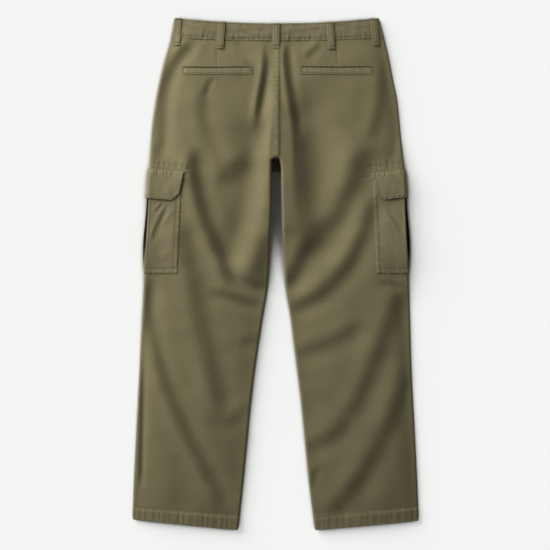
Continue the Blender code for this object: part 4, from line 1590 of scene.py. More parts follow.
@dataclass
class FrontPanels:
    """The two front panels, which lie on the surface below the back."""

    shop: Workshop
    top_y: float = 492.1
    crotch_levels: tuple[float, ...] = (216.0, 214.4, 212.0, 206.0)
    hem_from_y: float = -484.0
    hem_rows: int = 12
    row_step: float = 6.0
    columns: int = 47
    edge: float = 6.4
    drop: float = 10.0
    drop_start: float = 20.0
    hem_rise: float = 3.0
    hem_stitch: float = 25.5
    hem_wear: float = 0.5
    crease_height: float = 1.6
    fly_reach: float = 36.0
    fly_ends_y: tuple[float, float] = (478.0, 345.0)
    fly_curve: tuple[float, float] = (34.0, 40.0)
    cut: Cut = Cut(0.27, 1.07, 0.25)

    def drop_at(self, reach: Array, width: Array) -> Array:
        """How much lower than the back the front's waist edge lies."""
        return self.drop * np.clip((reach - self.drop_start) / (width - self.drop_start), 0.0, 1.0)

    def rows(self, side: Side) -> tuple[Array, Array, Array]:
        """Grid of the panel's underside.

        Args:
            side: Which panel.

        Returns:
            The points, their levels and their reaches.
        """
        garment = self.shop.garment
        hem = garment.hem_y(side)
        upper, *crotch, lower = self.crotch_levels
        seat_rows = np.arange(self.top_y, upper, -self.row_step)
        leg_rows = np.arange(lower, self.hem_from_y + 4.0, -self.row_step)
        hem_rows = np.linspace(self.hem_from_y, hem, self.hem_rows)
        level = tidy_count(np.concatenate((seat_rows, crotch, leg_rows, hem_rows)))[:, None]
        seat = level > garment.front_crotch_y
        inner = garment.outline(side, "inner_x", level) - side.inward * self.edge
        last = np.where(seat, garment.centre_x - side.inward * garment.seam_gap / 2.0, inner)
        width = np.abs(last - garment.outline(side, "outer_x", level))
        reach = self.edge + np.linspace(0.0, 1.0, self.columns) * (width - self.edge)
        x, y = garment.spread(side, level, reach)
        y = y - np.where(level > garment.band_low_y - 1.0, self.drop_at(reach, width), 0.0)
        y = y + self.hem_rise * smoothstep((hem + 12.0 - level) / 12.0)
        edge = smoothstep((reach - 22.0) / 25.0) * smoothstep((width - 20.0 - reach) / 25.0)
        hemmed = smoothstep((level - hem - 30.0) / 30.0) * smoothstep((470.0 - level) / 30.0)
        lifted = np.clip(-garment.folds(x, y) / 3.0, 0.0, 1.2)
        z = garment.floor_lift(level, reach) + self.crease_height * lifted * edge * hemmed
        return np.stack((x, y, z), -1), level + 0.0 * reach, reach

    def make_panel(self, side: Side) -> bpy.types.Object:
        """Makes one front panel.

        Args:
            side: Which leg.

        Returns:
            The panel.
        """
        garment = self.shop.garment
        points, level, _ = self.rows(side)
        wear_and_highlight = self.hem_wear * np.exp((garment.hem_y(side) - level) / 1.6)
        name = f"cloth_front_{side.value}"
        return Cloth(name, points, garment.cloth_at(level), DOWN, wear_and_highlight).make(self.shop.twill)

    def fly_row(self) -> Array:
        """The fly's run of stitches, straight down and round to the centre.

        Returns:
            The run's points.
        """
        garment = self.shop.garment
        high, low = self.fly_ends_y
        across, down = self.fly_curve
        edge = garment.centre_x - self.fly_reach
        turn = np.linspace(0.0, 0.5 * math.pi, 18)
        y = np.linspace(high, low, 70)
        x = np.concatenate((edge + 0.0 * y, edge + across * (1.0 - np.cos(turn))))
        y = np.concatenate((y, low - down * np.sin(turn)))
        return np.column_stack((x, y, stepped(garment.waist_lift, y) + 0.05))

    def stitch_rows(self, side: Side) -> list[Array]:
        """The hem's run of stitches and, on the left, the fly's.

        Args:
            side: Which leg.

        Returns:
            Runs of points, in millimetres.
        """
        points, level, _ = self.rows(side)
        hem = nearest(level[:, 0], self.shop.garment.hem_y(side) + self.hem_stitch)
        rows = [raised(points[hem], 0.05)]
        return rows + [self.fly_row()] if side is Side.LEFT else rows

    def build(self) -> None:
        for side in Side:
            panel = self.make_panel(side)
            stitches = self.shop.sewing.sew(f"stitches_front_{side.value}", self.stitch_rows(side), seed=11)
            lay(panel, f"front_{side.value}")


@dataclass
class Waistband:
    """The waistband: one strip round the waist, its ends overlapped at centre front."""

    shop: Workshop
    fronts: FrontPanels
    thickness: float = 2.4
    proud: float = 0.4
    rows: int = 27
    top_columns: int = 151
    roll_steps: int = 8
    overlap: float = 22.0
    button_lift: float = 3.3
    upper_lift: float = 6.0
    lift_half: float = 30.0
    slope_share: float = 2.2
    front_columns: tuple[int, int, int] = (14, 10, 42)
    bulge: float = 0.35
    low_gather: float = 0.34
    top_gather: float = 0.3
    swells: float = 0.3
    groove: float = 0.55
    groove_half: float = 1.1
    top_stitch: float = 3.2
    low_stitch: float = 6.2
    cut: Cut = Cut(0.91, 0.0426, 0.0385)

    def side_points(self, side: Side, level: Array) -> tuple[Array, Array]:
        """Outside of half the waistband, from the centre front round the side to the centre back.

        Args:
            side: Which half.
            level: Levels of its rows, in one column.

        Returns:
            The points, and the distance of each along the back from the side.
        """
        garment = self.shop.garment
        width = np.abs(garment.centre_x - garment.outline(side, "outer_x", level))
        floor = stepped(garment.waist_lift, level)
        end_lift = self.button_lift if side is Side.LEFT else self.upper_lift
        slope_end = -self.slope_share * self.lift_half
        ends = (self.overlap, -self.lift_half, slope_end, self.fronts.drop_start - float(width.min()))
        marks = runs(ends, self.front_columns)
        reach = width + marks
        slope = smoothstep((-marks - self.lift_half) / ((self.slope_share - 1.0) * self.lift_half))
        lift = end_lift + (floor - end_lift) * slope
        x, _ = garment.spread(side, level, reach)
        _, y = garment.spread(side, level, np.minimum(reach, width))
        y = y - self.fronts.drop_at(reach, width)
        low = np.stack((x, y, lift + 0.0 * reach), -1)

        share = np.linspace(0.0, 1.0, self.top_columns)
        back = garment.roll_width + share * (width - garment.roll_width)
        top = garment.top(side, level, back)
        top[..., 2] += self.proud
        half = (top[:, :1, 2] - floor) / 2.0
        turn = np.linspace(-0.5 * math.pi, 0.5 * math.pi, self.roll_steps + 1)[:-1]
        bend = garment.roll_width * (1.0 - np.cos(turn)) * np.ones_like(level)
        roll = np.stack((*garment.spread(side, level, bend), floor + half * (1.0 + np.sin(turn))), -1)
        return np.concatenate((low, roll, top), 1), np.concatenate((0.0 * reach, 0.0 * bend, back), 1)

    def grid(self) -> tuple[Array, Array]:
        """The whole ring's outside, and each point's distance below the top edge.

        Returns:
            The points and their distances.
        """
        garment = self.shop.garment
        level = np.linspace(garment.waist_y, garment.band_low_y, self.rows)[:, None]
        left, _ = self.side_points(Side.LEFT, level)
        right, _ = self.side_points(Side.RIGHT, level)
        right = right[:, ::-1]
        middle = (left[:, -1:] + right[:, :1]) / 2.0
        points = np.concatenate((left[:, :-1], middle, right[:, 1:]), 1)
        return points, garment.waist_y - level + 0.0 * points[..., 0]

    def dressed(self) -> tuple[Array, Array, Array]:
        """The ring with its gathers and stitch lines, its paleness from wear and painted highlight, and its
        painted shade.

        Returns:
            The points, and the paleness and the painted shade of each.
        """
        garment = self.shop.garment
        points, below = self.grid()
        deepest = garment.waist_y - garment.band_low_y
        across = np.linalg.norm(np.diff(points, axis=1), axis=-1)
        along = np.concatenate(((0.0,), np.cumsum(across[len(across) // 2])))
        low = deepest - self.low_stitch
        low_gather = self.low_gather * pucker(along, 10.5, 13)
        top_gather = self.top_gather * pucker(along, 9.0, 17)
        gather = low_gather * smoothstep((below - low + 19.0) / 18.0)
        gather = gather + top_gather * smoothstep((self.top_stitch + 3.0 - below) / 4.0)
        gather = gather + self.swells * unevenness(along, 2.0 * below, 24.0, 19)
        rise = self.bulge * np.sin(math.pi * below / deepest) + gather * smoothstep((deepest - below) / 2.0)
        grooves = hump(below - self.top_stitch, self.groove_half) + hump(below - low, self.groove_half)
        rise = rise - self.groove * grooves
        normals = grid_normals(points, UP)
        # Paler at the worn top edge and, as a painted highlight, on the gathers' ridges; painted shade in the
        # stitch grooves, along the lower edge and in the gathers' hollows
        wear_and_highlight = 0.5 * np.exp(-below / 1.2) + 0.1 * smoothstep(gather / 0.6)
        painted_shade = 0.28 * grooves + 0.3 * np.exp(-(deepest - below) / 1.0) + 0.12 * smoothstep(-gather / 0.6)
        return points + normals * rise[..., None], wear_and_highlight, painted_shade

    def build(self) -> None:
        garment = self.shop.garment
        points, wear_and_highlight, painted_shade = self.dressed()
        band = Cloth("cloth_waistband", points, self.thickness, UP, wear_and_highlight, painted_shade).make(self.shop.band_twill)
        deepest = garment.waist_y - garment.band_low_y
        normals = grid_normals(points, UP)
        rows = []
        for below in (self.top_stitch, deepest - self.low_stitch):
            row = round(below / (deepest / (self.rows - 1)))
            rows.append(points[row] + 0.12 * normals[row])
        stitches = self.shop.sewing.sew("stitches_waistband", rows, seed=17)
        lay(band, "waistband")


class LoopPlace(NamedTuple):
    """A belt loop's name, and the x of its middle at its top and bottom and its lower level."""

    name: str
    side: Side
    top_x: float
    bottom_x: float
    bottom_y: float


@dataclass
class BeltLoops:
    """Seven belt loops, five over the back and two below the front."""

    shop: Workshop
    width: float = 15.0
    cloth: float = 1.7
    lift: float = 1.0
    bulge: float = 0.5
    columns: int = 17
    rows: int = 57
    over_top: float = 1.6
    tack_rise: float = 5.5
    tack_depth: float = 0.75
    row_offset: float = 4.6
    row_depth: float = 0.3
    ridge: float = 0.28
    front_from_centre: float = 108.0
    front_length: float = 56.0
    front_cloth: float = 1.3
    cut: Cut = Cut(0.015, 0.062, 0.00093)
    places: tuple[LoopPlace, ...] = (
        LoopPlace("loop_side_left", Side.LEFT, -202.2, -206.5, 476.5),
        LoopPlace("loop_back_left", Side.LEFT, -111.0, -115.0, 469.0),
        LoopPlace("loop_centre", Side.LEFT, 2.3, 1.3, 469.4),
        LoopPlace("loop_back_right", Side.RIGHT, 113.6, 117.0, 467.8),
        LoopPlace("loop_side_right", Side.RIGHT, 204.6, 210.5, 476.5),
    )

    def ground(self, place: LoopPlace, x: Array, y: Array) -> Array:
        """Height of what the loop lies on.

        Args:
            place: Which loop.
            x: The points' x.
            y: The points' y.

        Returns:
            The heights.
        """
        garment = self.shop.garment
        if place.name != "loop_centre":
            return garment.height(place.side, x, y)
        return np.where(x < garment.centre_x, *garment.centre_heights(x, y))

    def top_edge(self, place: LoopPlace) -> float:
        """Y of the waistband's edge at the loop.

        Args:
            place: Which loop.

        Returns:
            The edge's y.
        """
        garment = self.shop.garment
        outer_x = float(garment.outline(place.side, "outer_x", np.array(garment.waist_y)))
        reach = place.side.inward * (place.top_x - outer_x)
        return float(garment.spread(place.side, np.array(garment.waist_y), np.array(reach))[1])

    def back_grid(self, place: LoopPlace) -> tuple[Array, Array, Array]:
        """Grid of a loop's outside, with its wear and shade.

        Args:
            place: Which loop.

        Returns:
            The points, and the wear and the shade of each.
        """
        t = np.linspace(0.0, 1.0, self.rows)[:, None]
        u = np.linspace(-0.5, 0.5, self.columns)[None, :]
        top_y = self.top_edge(place) + self.over_top
        x = place.top_x + (place.bottom_x - place.top_x) * t + self.width * u
        y = top_y + (place.bottom_y - top_y) * t + 0.0 * u
        length = top_y - place.bottom_y
        down, up = t * length, (1.0 - t) * length
        ground = self.ground(place, x, np.minimum(y, top_y - self.over_top))
        lift = self.lift + self.bulge * np.sin(math.pi * np.clip(t * 1.1, 0.0, 1.0)) ** 0.7
        fold = 4.2 * np.maximum(1.0 - down / 3.2, 0.0) ** 2 + 0.5 * np.maximum(1.0 - up / 1.5, 0.0)
        across, from_tack = u * self.width, up - self.tack_rise
        from_row = np.abs(across) - self.row_offset
        seams = self.ridge * hump(across, 2.0) - self.row_depth * hump(from_row, 0.7)
        seams = seams - self.tack_depth * hump(from_tack, 1.5)
        edge = 0.8 * np.maximum(np.abs(u) * 2.0 - 0.82, 0.0) / 0.18
        z = ground + lift + self.cloth + seams - edge - fold
        wear_and_highlight = 0.5 * hump(np.abs(u) - 0.47, 0.04) + 0.25 * hump(across, 1.8) + 0.0 * t
        # Painted shade in the bartack's groove and along the rows of stitches
        painted_shade = 0.25 * hump(from_tack, 0.9) + 0.1 * hump(from_row, 0.6)
        return np.stack((x, y, z), -1), wear_and_highlight, painted_shade

    def front_grid(self, side: Side) -> Array:
        """Grid of a hidden loop's outside, which faces down.

        Args:
            side: Which leg.

        Returns:
            The points.
        """
        garment = self.shop.garment
        x = garment.centre_x - side.inward * self.front_from_centre
        waist = OUTLINES[side][0]
        share = 1.0 - self.front_from_centre / abs(garment.centre_x - waist.outer_x)
        top_y = garment.waist_y + (waist.inner_y - FrontPanels.drop - garment.waist_y) * share
        y = np.linspace(top_y, top_y - self.front_length, 29)[:, None]
        u = np.linspace(-0.5, 0.5, 11)[None, :]
        panel = np.minimum(garment.floor_lift(y, 1000.0), 1.9)
        z = panel - garment.seam_gap - self.front_cloth + 0.0 * u
        return np.stack((x + self.width * u + 0.0 * y, y + 0.0 * u, z), -1)

    def build(self) -> None:
        rows, tacks = [], []
        for place in self.places:
            points, wear_and_highlight, painted_shade = self.back_grid(place)
            loop = Cloth(f"cloth_{place.name}", points, self.cloth, UP, wear_and_highlight, painted_shade)
            across = (np.arange(self.columns) / (self.columns - 1) - 0.5) * self.width
            for offset in (-self.row_offset, self.row_offset):
                rows.append(raised(points[3:-3, nearest(across, offset)], 0.12))
            tack = nearest(points[:, 0, 1], place.bottom_y + self.tack_rise)
            tacks += [raised(points[tack, 1:-1], 0.25), raised(points[4, 1:-1], 0.15)]
            lay(loop.make(self.shop.band_twill), place.name)
        for side in Side:
            name = f"loop_front_{side.value}"
            loop = Cloth(f"cloth_{name}", self.front_grid(side), self.front_cloth, DOWN)
            lay(loop.make(self.shop.band_twill), name)
        self.shop.sewing.sew("stitches_loops", rows, 23, LOOP_STITCH)
        self.shop.sewing.sew("bartacks_loops", tacks, 29, BARTACK)


class WeltPlace(NamedTuple):
    """The stitched frame of a back pocket: its ends along X and its upper and lower level."""

    side: Side
    start_x: float
    end_x: float
    high_y: float
    low_y: float


@dataclass
class BackPockets:
    """The welts of the two back pockets, each in its stitched frame."""

    shop: Workshop
    cloth: float = 1.0
    rows: int = 31
    step: float = 1.3
    frame_side: float = 4.0
    frame_top: float = 2.4
    frame_low: float = 2.9
    sag: float = 1.2
    mouth: float = 1.25
    mouth_depth: float = 0.65
    end_depth: float = 0.4
    seam_depth: float = 0.2
    height: float = 0.9
    strip_rise: float = 0.3
    gather: float = 0.24
    row_inset: float = 0.9
    cut: Cut = Cut(0.155, 0.019, 0.0029)
    places: tuple[WeltPlace, ...] = (
        WeltPlace(Side.LEFT, -196.4, -47.4, 433.0, 415.0),
        WeltPlace(Side.RIGHT, 50.6, 203.2, 433.6, 415.0),
    )

    def grid(self, place: WeltPlace) -> tuple[Array, Array, Array]:
        """Grid of a welt's outside, with its wear and shade.

        Args:
            place: Which pocket.

        Returns:
            The points, and the wear and the shade of each.
        """
        garment = self.shop.garment
        columns = 1 + 2 * round((place.end_x - place.start_x) / self.step / 2.0)
        x = np.linspace(place.start_x, place.end_x, columns)[None, :]
        y = np.linspace(place.high_y, place.low_y, self.rows)[:, None]
        x, y = x + 0.0 * y, y + 0.0 * x
        ground = garment.height(place.side, x, y)
        share = (x - place.start_x) / (place.end_x - place.start_x)
        from_end = np.minimum(x - place.start_x, place.end_x - x)
        lip = place.high_y - self.frame_top - self.sag * np.sin(math.pi * share) ** 1.5
        seam = place.low_y + self.frame_low
        within = smoothstep((from_end - self.frame_side + 0.6) / 1.2)
        mouth = within * hump(y - lip, self.mouth)
        ends = hump(from_end - self.frame_side, 0.8) * (y < lip) * (y > seam)
        low = within * hump(y - seam, 0.7)
        strip = within * smoothstep((lip - y) / 1.5) * smoothstep((y - seam) / 1.5)
        gather = self.gather * pucker(x + 3.0 * np.sin(x / 17.0), 11.0, 31) * strip
        rise = self.height + self.strip_rise * strip + gather
        rise = rise - self.mouth_depth * mouth - self.end_depth * ends - self.seam_depth * low
        outer = np.minimum(from_end, np.minimum(place.high_y - y, y - place.low_y))
        rise = rise - 0.3 * np.exp(-outer / 0.8)
        wear_and_highlight = 0.1 * within * hump(y - lip + 2.0, 0.9)
        # Painted shade in the pocket's mouth, at its ends, along its lower seam and round its frame, with
        # more at the lit left end
        left_end_painted_shade = 0.3 * (share < 0.5) * ends + 0.3 * np.exp(-(x - place.start_x) / 0.8)
        painted_shade = 0.95 * mouth + 0.35 * ends + 0.12 * low + 0.2 * np.exp(-outer / 0.7) + left_end_painted_shade
        return np.stack((x, y, ground + rise), -1), wear_and_highlight, np.clip(painted_shade, 0.0, 1.0)

    def frame_row(self, place: WeltPlace) -> Array:
        """The run of stitches round the pocket's frame.

        Args:
            place: Which pocket.

        Returns:
            The run's points.
        """
        left, right = place.start_x + self.row_inset, place.end_x - self.row_inset
        high, low = place.high_y - self.row_inset, place.low_y + self.row_inset
        corners = np.array(((left, high), (right, high), (right, low), (left, low), (left, high)))
        sides = []
        for start, end in zip(corners, corners[1:]):
            count = max(2, int(np.hypot(*(end - start)) / STITCH_STEP))
            sides.append(start + (end - start) * np.linspace(0.0, 1.0, count, endpoint=False)[:, None])
        x, y = np.concatenate(sides).T
        return np.column_stack((x, y, self.shop.garment.height(place.side, x, y) + self.height))

    def build(self) -> None:
        for place in self.places:
            points, wear_and_highlight, painted_shade = self.grid(place)
            panel, name = f"cloth_back_{place.side.value}", f"welt_{place.side.value}"
            welt = Cloth(f"cloth_{name}", points, self.cloth, UP, wear_and_highlight, painted_shade)
            stitches = self.shop.sewing.sew(f"stitches_{name}", [self.frame_row(place)], seed=37)
            lay(welt.make(self.shop.pocket_twill), name)


class PocketPlace(NamedTuple):
    """Sizes of one cargo pocket, as distances round the leg from its outline, and levels."""

    side: Side
    bag_reach: float
    flap_reach_top: float
    flap_reach_low: float
    flap_top_y: float
    flap_tilt: float
    flap_height: float
    pleat: float
    pleat_half: float


@dataclass
class CargoPockets:
    """The pleated bags on the sides of the legs and the flaps over their mouths."""

    shop: Workshop
    cloth: float = 1.2
    flap_cloth: float = 1.6
    top_y: float = 204.8
    low_y: float = 1.5
    row_step: float = 1.8
    edge_stitch: float = 8.4
    low_stitch: float = 10.4
    row_depth: float = 0.5
    bag_columns: tuple[int, ...] = (33, 9, 24, 9, 16)
    bag_row_start: int = 28
    bag_row_end: int = 64
    edge_gather: float = 0.3
    flap_columns: tuple[int, ...] = (44, 19, 24)
    flap_rows: tuple[float, ...] = (2.4, 8.6)
    flap_row_pitch: float = 1.62
    flap_row_start: int = 5
    flap_row_end: int = 56
    flap_top_gather: float = 0.6
    flap_edge_lift: float = 0.9
    clip_reach: float = 16.7
    clip_rise: float = 14.5
    standoffs: tuple = (
        (204.8, 1.0), (184.0, 1.1), (165.0, 1.1), (146.3, 1.3), (129.6, 2.0),
        (101.0, 3.4), (71.0, 4.6), (42.0, 4.0), (17.0, 2.0), (1.5, 0.7),
    )
    bag_cut: Cut = Cut(0.19, 0.215, 0.036)
    flap_cut: Cut = Cut(0.15, 0.068, 0.0098)
    places: tuple[PocketPlace, ...] = (
        PocketPlace(Side.LEFT, 70.0, 74.0, 67.0, 219.8, -6.2, 62.0, 2.5, 1.9),
        PocketPlace(Side.RIGHT, 68.3, 72.2, 62.5, 219.0, -8.7, 59.0, 3.1, 1.2),
    )
    bag_folds: tuple[Fold, ...] = (
        Fold(-224, 150, -258, 62, 0, -3, 5.0, -0.6, 1.5),
        Fold(-214, 140, -245, 95, 2, 0, 4.5, 1.0, 0.0),
        Fold(-234, 150, -252, 128, 0, 0, 3.5, 0.0, 0.8),
        Fold(-238, 30, -216, 55, 0, 0, 6.0, 0.8, 0.0),
        Fold(228, 146, 264, 76, -2, 2, 5.0, -0.4, 1.0),
        Fold(224, 120, 246, 70, 0, 0, 6.0, 0.8, 0.0),
        Fold(214, 96, 226, 30, 0, 0, 6.0, -0.6, 0.0),
    )

    def bag_gap(self, place: PocketPlace, y: Array, around: Array) -> Array:
        """Gap between the bag and the leg: sewn flat at its free edges, swelled at the side.

        Args:
            place: Which pocket.
            y: Level of the points.
            around: Distance round the leg.

        Returns:
            The gaps.
        """
        garment = self.shop.garment
        full = eased(self.standoffs, y)
        over = smoothstep((place.bag_reach - around) / (place.bag_reach - 1.2 * garment.quarter))
        over = garment.lay_gap + (full - garment.lay_gap) * over
        under = garment.seam_gap + (full - garment.seam_gap) * smoothstep(1.0 + around / garment.quarter)
        return np.where(around >= 0.0, over, under)

    def bag_relief(self, points: Array) -> Array:
        """Height of the bag's own small folds."""
        x, y = points[..., 0].ravel(), points[..., 1].ravel()
        return sum(fold.relief(x, y) for fold in self.bag_folds).reshape(points.shape[:2])

    def bag_grid(self, place: PocketPlace) -> tuple[Array, Array, Array]:
        """Grid of a bag's outside, with its paleness from wear and painted highlight, and its painted shade.

        Args:
            place: Which pocket.

        Returns:
            The points, and the paleness and the painted shade of each.
        """
        garment = self.shop.garment
        pleat, quarter = place.pleat, garment.quarter
        ends = (place.bag_reach, pleat + 8.0, pleat + 2.4, pleat - 2.4, -quarter, -place.bag_reach)
        around = tidy_count(runs(ends, self.bag_columns))[None, :]
        depth = self.top_y - self.low_y
        y = tidy_count(np.linspace(self.top_y, self.low_y, round(depth / self.row_step)))[:, None]
        opened = np.sin(math.pi * np.clip((self.top_y - y) / depth * 1.06, 0.0, 1.0)) ** 0.8
        gap = self.bag_gap(place, y, around)
        groove = plateau(around - pleat, place.pleat_half * (0.3 + 0.7 * opened))
        groove = groove * np.minimum(1.5 * opened, 1.0)
        gap = gap + (garment.lay_gap + 0.15 - gap) * groove
        # The inside of the pleat's slit, which is painted dark as shade
        inside = opened * plateau(around - pleat + 0.3, place.pleat_half + 0.25)
        bare = garment.wrap(place.side, y, around, gap + self.cloth)
        from_edge = place.bag_reach - np.abs(around) + 0.0 * y
        above = y - self.low_y + 0.0 * around
        relief = self.bag_relief(bare) * (around > 0.0)
        relief = relief * smoothstep(from_edge / 10.0) * smoothstep(above / 10.0)
        rows = hump(from_edge - self.edge_stitch, 1.0) + hump(above - self.low_stitch, 1.0)
        side_edge = smoothstep((self.edge_stitch + 1.0 - from_edge) / 4.0)
        low_edge = smoothstep((self.low_stitch + 1.0 - above) / 4.0)
        gathers = pucker(y, 7.5, 41) * side_edge + pucker(around, 8.0, 43) * low_edge
        relief = relief - self.row_depth * rows + self.edge_gather * gathers
        relief = relief * np.clip((around + quarter) / 4.0, 0.0, 1.0)
        relief = relief + 0.5 * opened * hump(around - pleat - 3.6, 1.2)
        points = garment.wrap(place.side, y, around, gap + self.cloth + np.maximum(relief, -1.0))
        wear_and_highlight = 0.45 * np.exp(-np.minimum(from_edge, above) / 1.3)
        # Paler along the pleat's outer lip: part wear, part painted highlight
        wear_and_highlight = wear_and_highlight + 0.25 * opened * hump(around - pleat - 2.9, 0.6)
        # Painted shade inside the pleat's slit and along the stitch rows
        return points, wear_and_highlight, 1.2 * np.minimum(1.4 * inside, 1.0) + 0.3 * rows

    def flap_grid(self, place: PocketPlace) -> tuple[Array, Array, Array]:
        """Grid of a flap's outside, with its wear and shade.

        Args:
            place: Which pocket.

        Returns:
            The points, and the wear and the shade of each.
        """
        garment = self.shop.garment
        share = np.concatenate(((0.0, 0.02, 0.05), np.linspace(0.08, 0.94, 34), (0.965, 0.985, 1.0)))
        share = tidy_count(share)[:, None]
        column = tidy_count(runs((1.0, 0.14, -0.1, -1.0), self.flap_columns))[None, :]
        reach = place.flap_reach_top + (place.flap_reach_low - place.flap_reach_top) * share
        around = column * reach
        top = place.flap_top_y + place.flap_tilt * np.abs(around) / place.flap_reach_top
        clip = np.clip(1.0 - (reach - np.abs(around)) / self.clip_reach, 0.0, 1.0)
        low = top - place.flap_height + self.clip_rise * clip
        y = top + (low - top) * share
        bag = self.bag_gap(place, np.minimum(y, self.top_y), np.maximum(around, -garment.quarter))
        bag = bag + self.cloth + 2.0 * garment.seam_gap
        gap = garment.lay_gap + (bag - garment.lay_gap) * smoothstep(share / 0.16)
        flat = 2.0 * garment.seam_gap + self.cloth
        gap = np.where(around < 0.0, flat + (gap - flat) * smoothstep(1.0 + around / garment.quarter), gap)
        from_side = reach - np.abs(around)
        from_low = (1.0 - share) * (top - low)
        from_edge = np.minimum(from_side, from_low)
        seen = np.clip((around + garment.quarter) / 4.0, 0.0, 1.0)
        outer, inner = self.flap_rows
        rows = hump(from_edge - outer, 0.7) + hump(from_edge - inner, 0.7) + hump(share * 60.0 - 7.0, 0.8)
        relief = 0.25 * smoothstep(from_edge / 3.0) - self.row_depth * rows
        edge_gathers = self.edge_gather * pucker(around + 0.6 * y, 8.0, 47)
        top_gathers = self.flap_top_gather * pucker(around, 9.0, 59)
        relief = relief + edge_gathers * smoothstep((10.0 - from_edge) / 5.0)
        relief = relief + top_gathers * smoothstep((0.24 - share) / 0.16)
        relief = relief + 0.3 * unevenness(around, y, 30.0, 53)
        lifted = self.flap_edge_lift * smoothstep((14.0 - from_edge) / 14.0) * smoothstep(share / 0.3)
        points = garment.wrap(place.side, y, around, gap + self.flap_cloth + (relief + lifted) * seen)
        # Paler at the worn edges; painted shade along the rows of stitches and at the flap's top seam
        return points, 0.6 * np.exp(-from_edge / 1.2) + 0.08, 0.3 * rows + 0.6 * hump(share * 60.0, 0.7)

    def bag_rows(self, place: PocketPlace) -> list[Array]:
        """The bag's stitches, along its free edge and its lower edge.

        Args:
            place: Which pocket.

        Returns:
            Runs of points, in millimetres.
        """
        points, _, _ = self.bag_grid(place)
        reach = np.array(place.bag_reach - self.edge_stitch)
        end_x = self.shop.garment.wrap(place.side, np.array(100.0), reach, 0.0)[0]
        column = nearest(points[len(points) // 2, : self.bag_row_end, 0], end_x)
        low = nearest(points[:, 0, 1], self.low_y + self.low_stitch)
        down = points[self.bag_row_start : low + 1, column]
        return [raised(down, 0.15), raised(points[low, column : self.bag_row_end], 0.15)]

    def flap_stitches(self, place: PocketPlace) -> list[Array]:
        """The flap's runs of stitches, two that follow its edges and one along its top.

        Args:
            place: Which pocket.

        Returns:
            Runs of points, in millimetres.
        """
        points, _, _ = self.flap_grid(place)
        middle, end = points[len(points) // 2], self.flap_row_end
        rows = []
        for inset in self.flap_rows:
            column = round(inset / np.linalg.norm(middle[1] - middle[0]))
            row = len(points) - 1 - round(inset / self.flap_row_pitch)
            edge = np.concatenate((points[self.flap_row_start : row, column], points[row, column:end]))
            rows.append(raised(edge, 0.15))
        return rows + [raised(points[self.flap_row_start + 1, 1:end], 0.12)]

    def build(self) -> None:
        twill, sew = self.shop.pocket_twill, self.shop.sewing.sew
        for place in self.places:
            side, outward = place.side.value, (-place.side.inward, 0.0, 1.0)
            name = f"cargo_pocket_{side}"
            points, wear_and_highlight, painted_shade = self.bag_grid(place)
            bag = Cloth(f"cloth_{name}", points, self.cloth, outward, wear_and_highlight, painted_shade)
            stitches = sew(f"stitches_{name}", self.bag_rows(place), seed=43)
            lay(bag.make(twill), name)
            name = f"cargo_flap_{side}"
            points, wear_and_highlight, painted_shade = self.flap_grid(place)
            flap = Cloth(f"cloth_{name}", points, self.flap_cloth, outward, wear_and_highlight, painted_shade)
            stitches = sew(f"stitches_{name}", self.flap_stitches(place), seed=47)
            lay(flap.make(twill), name)


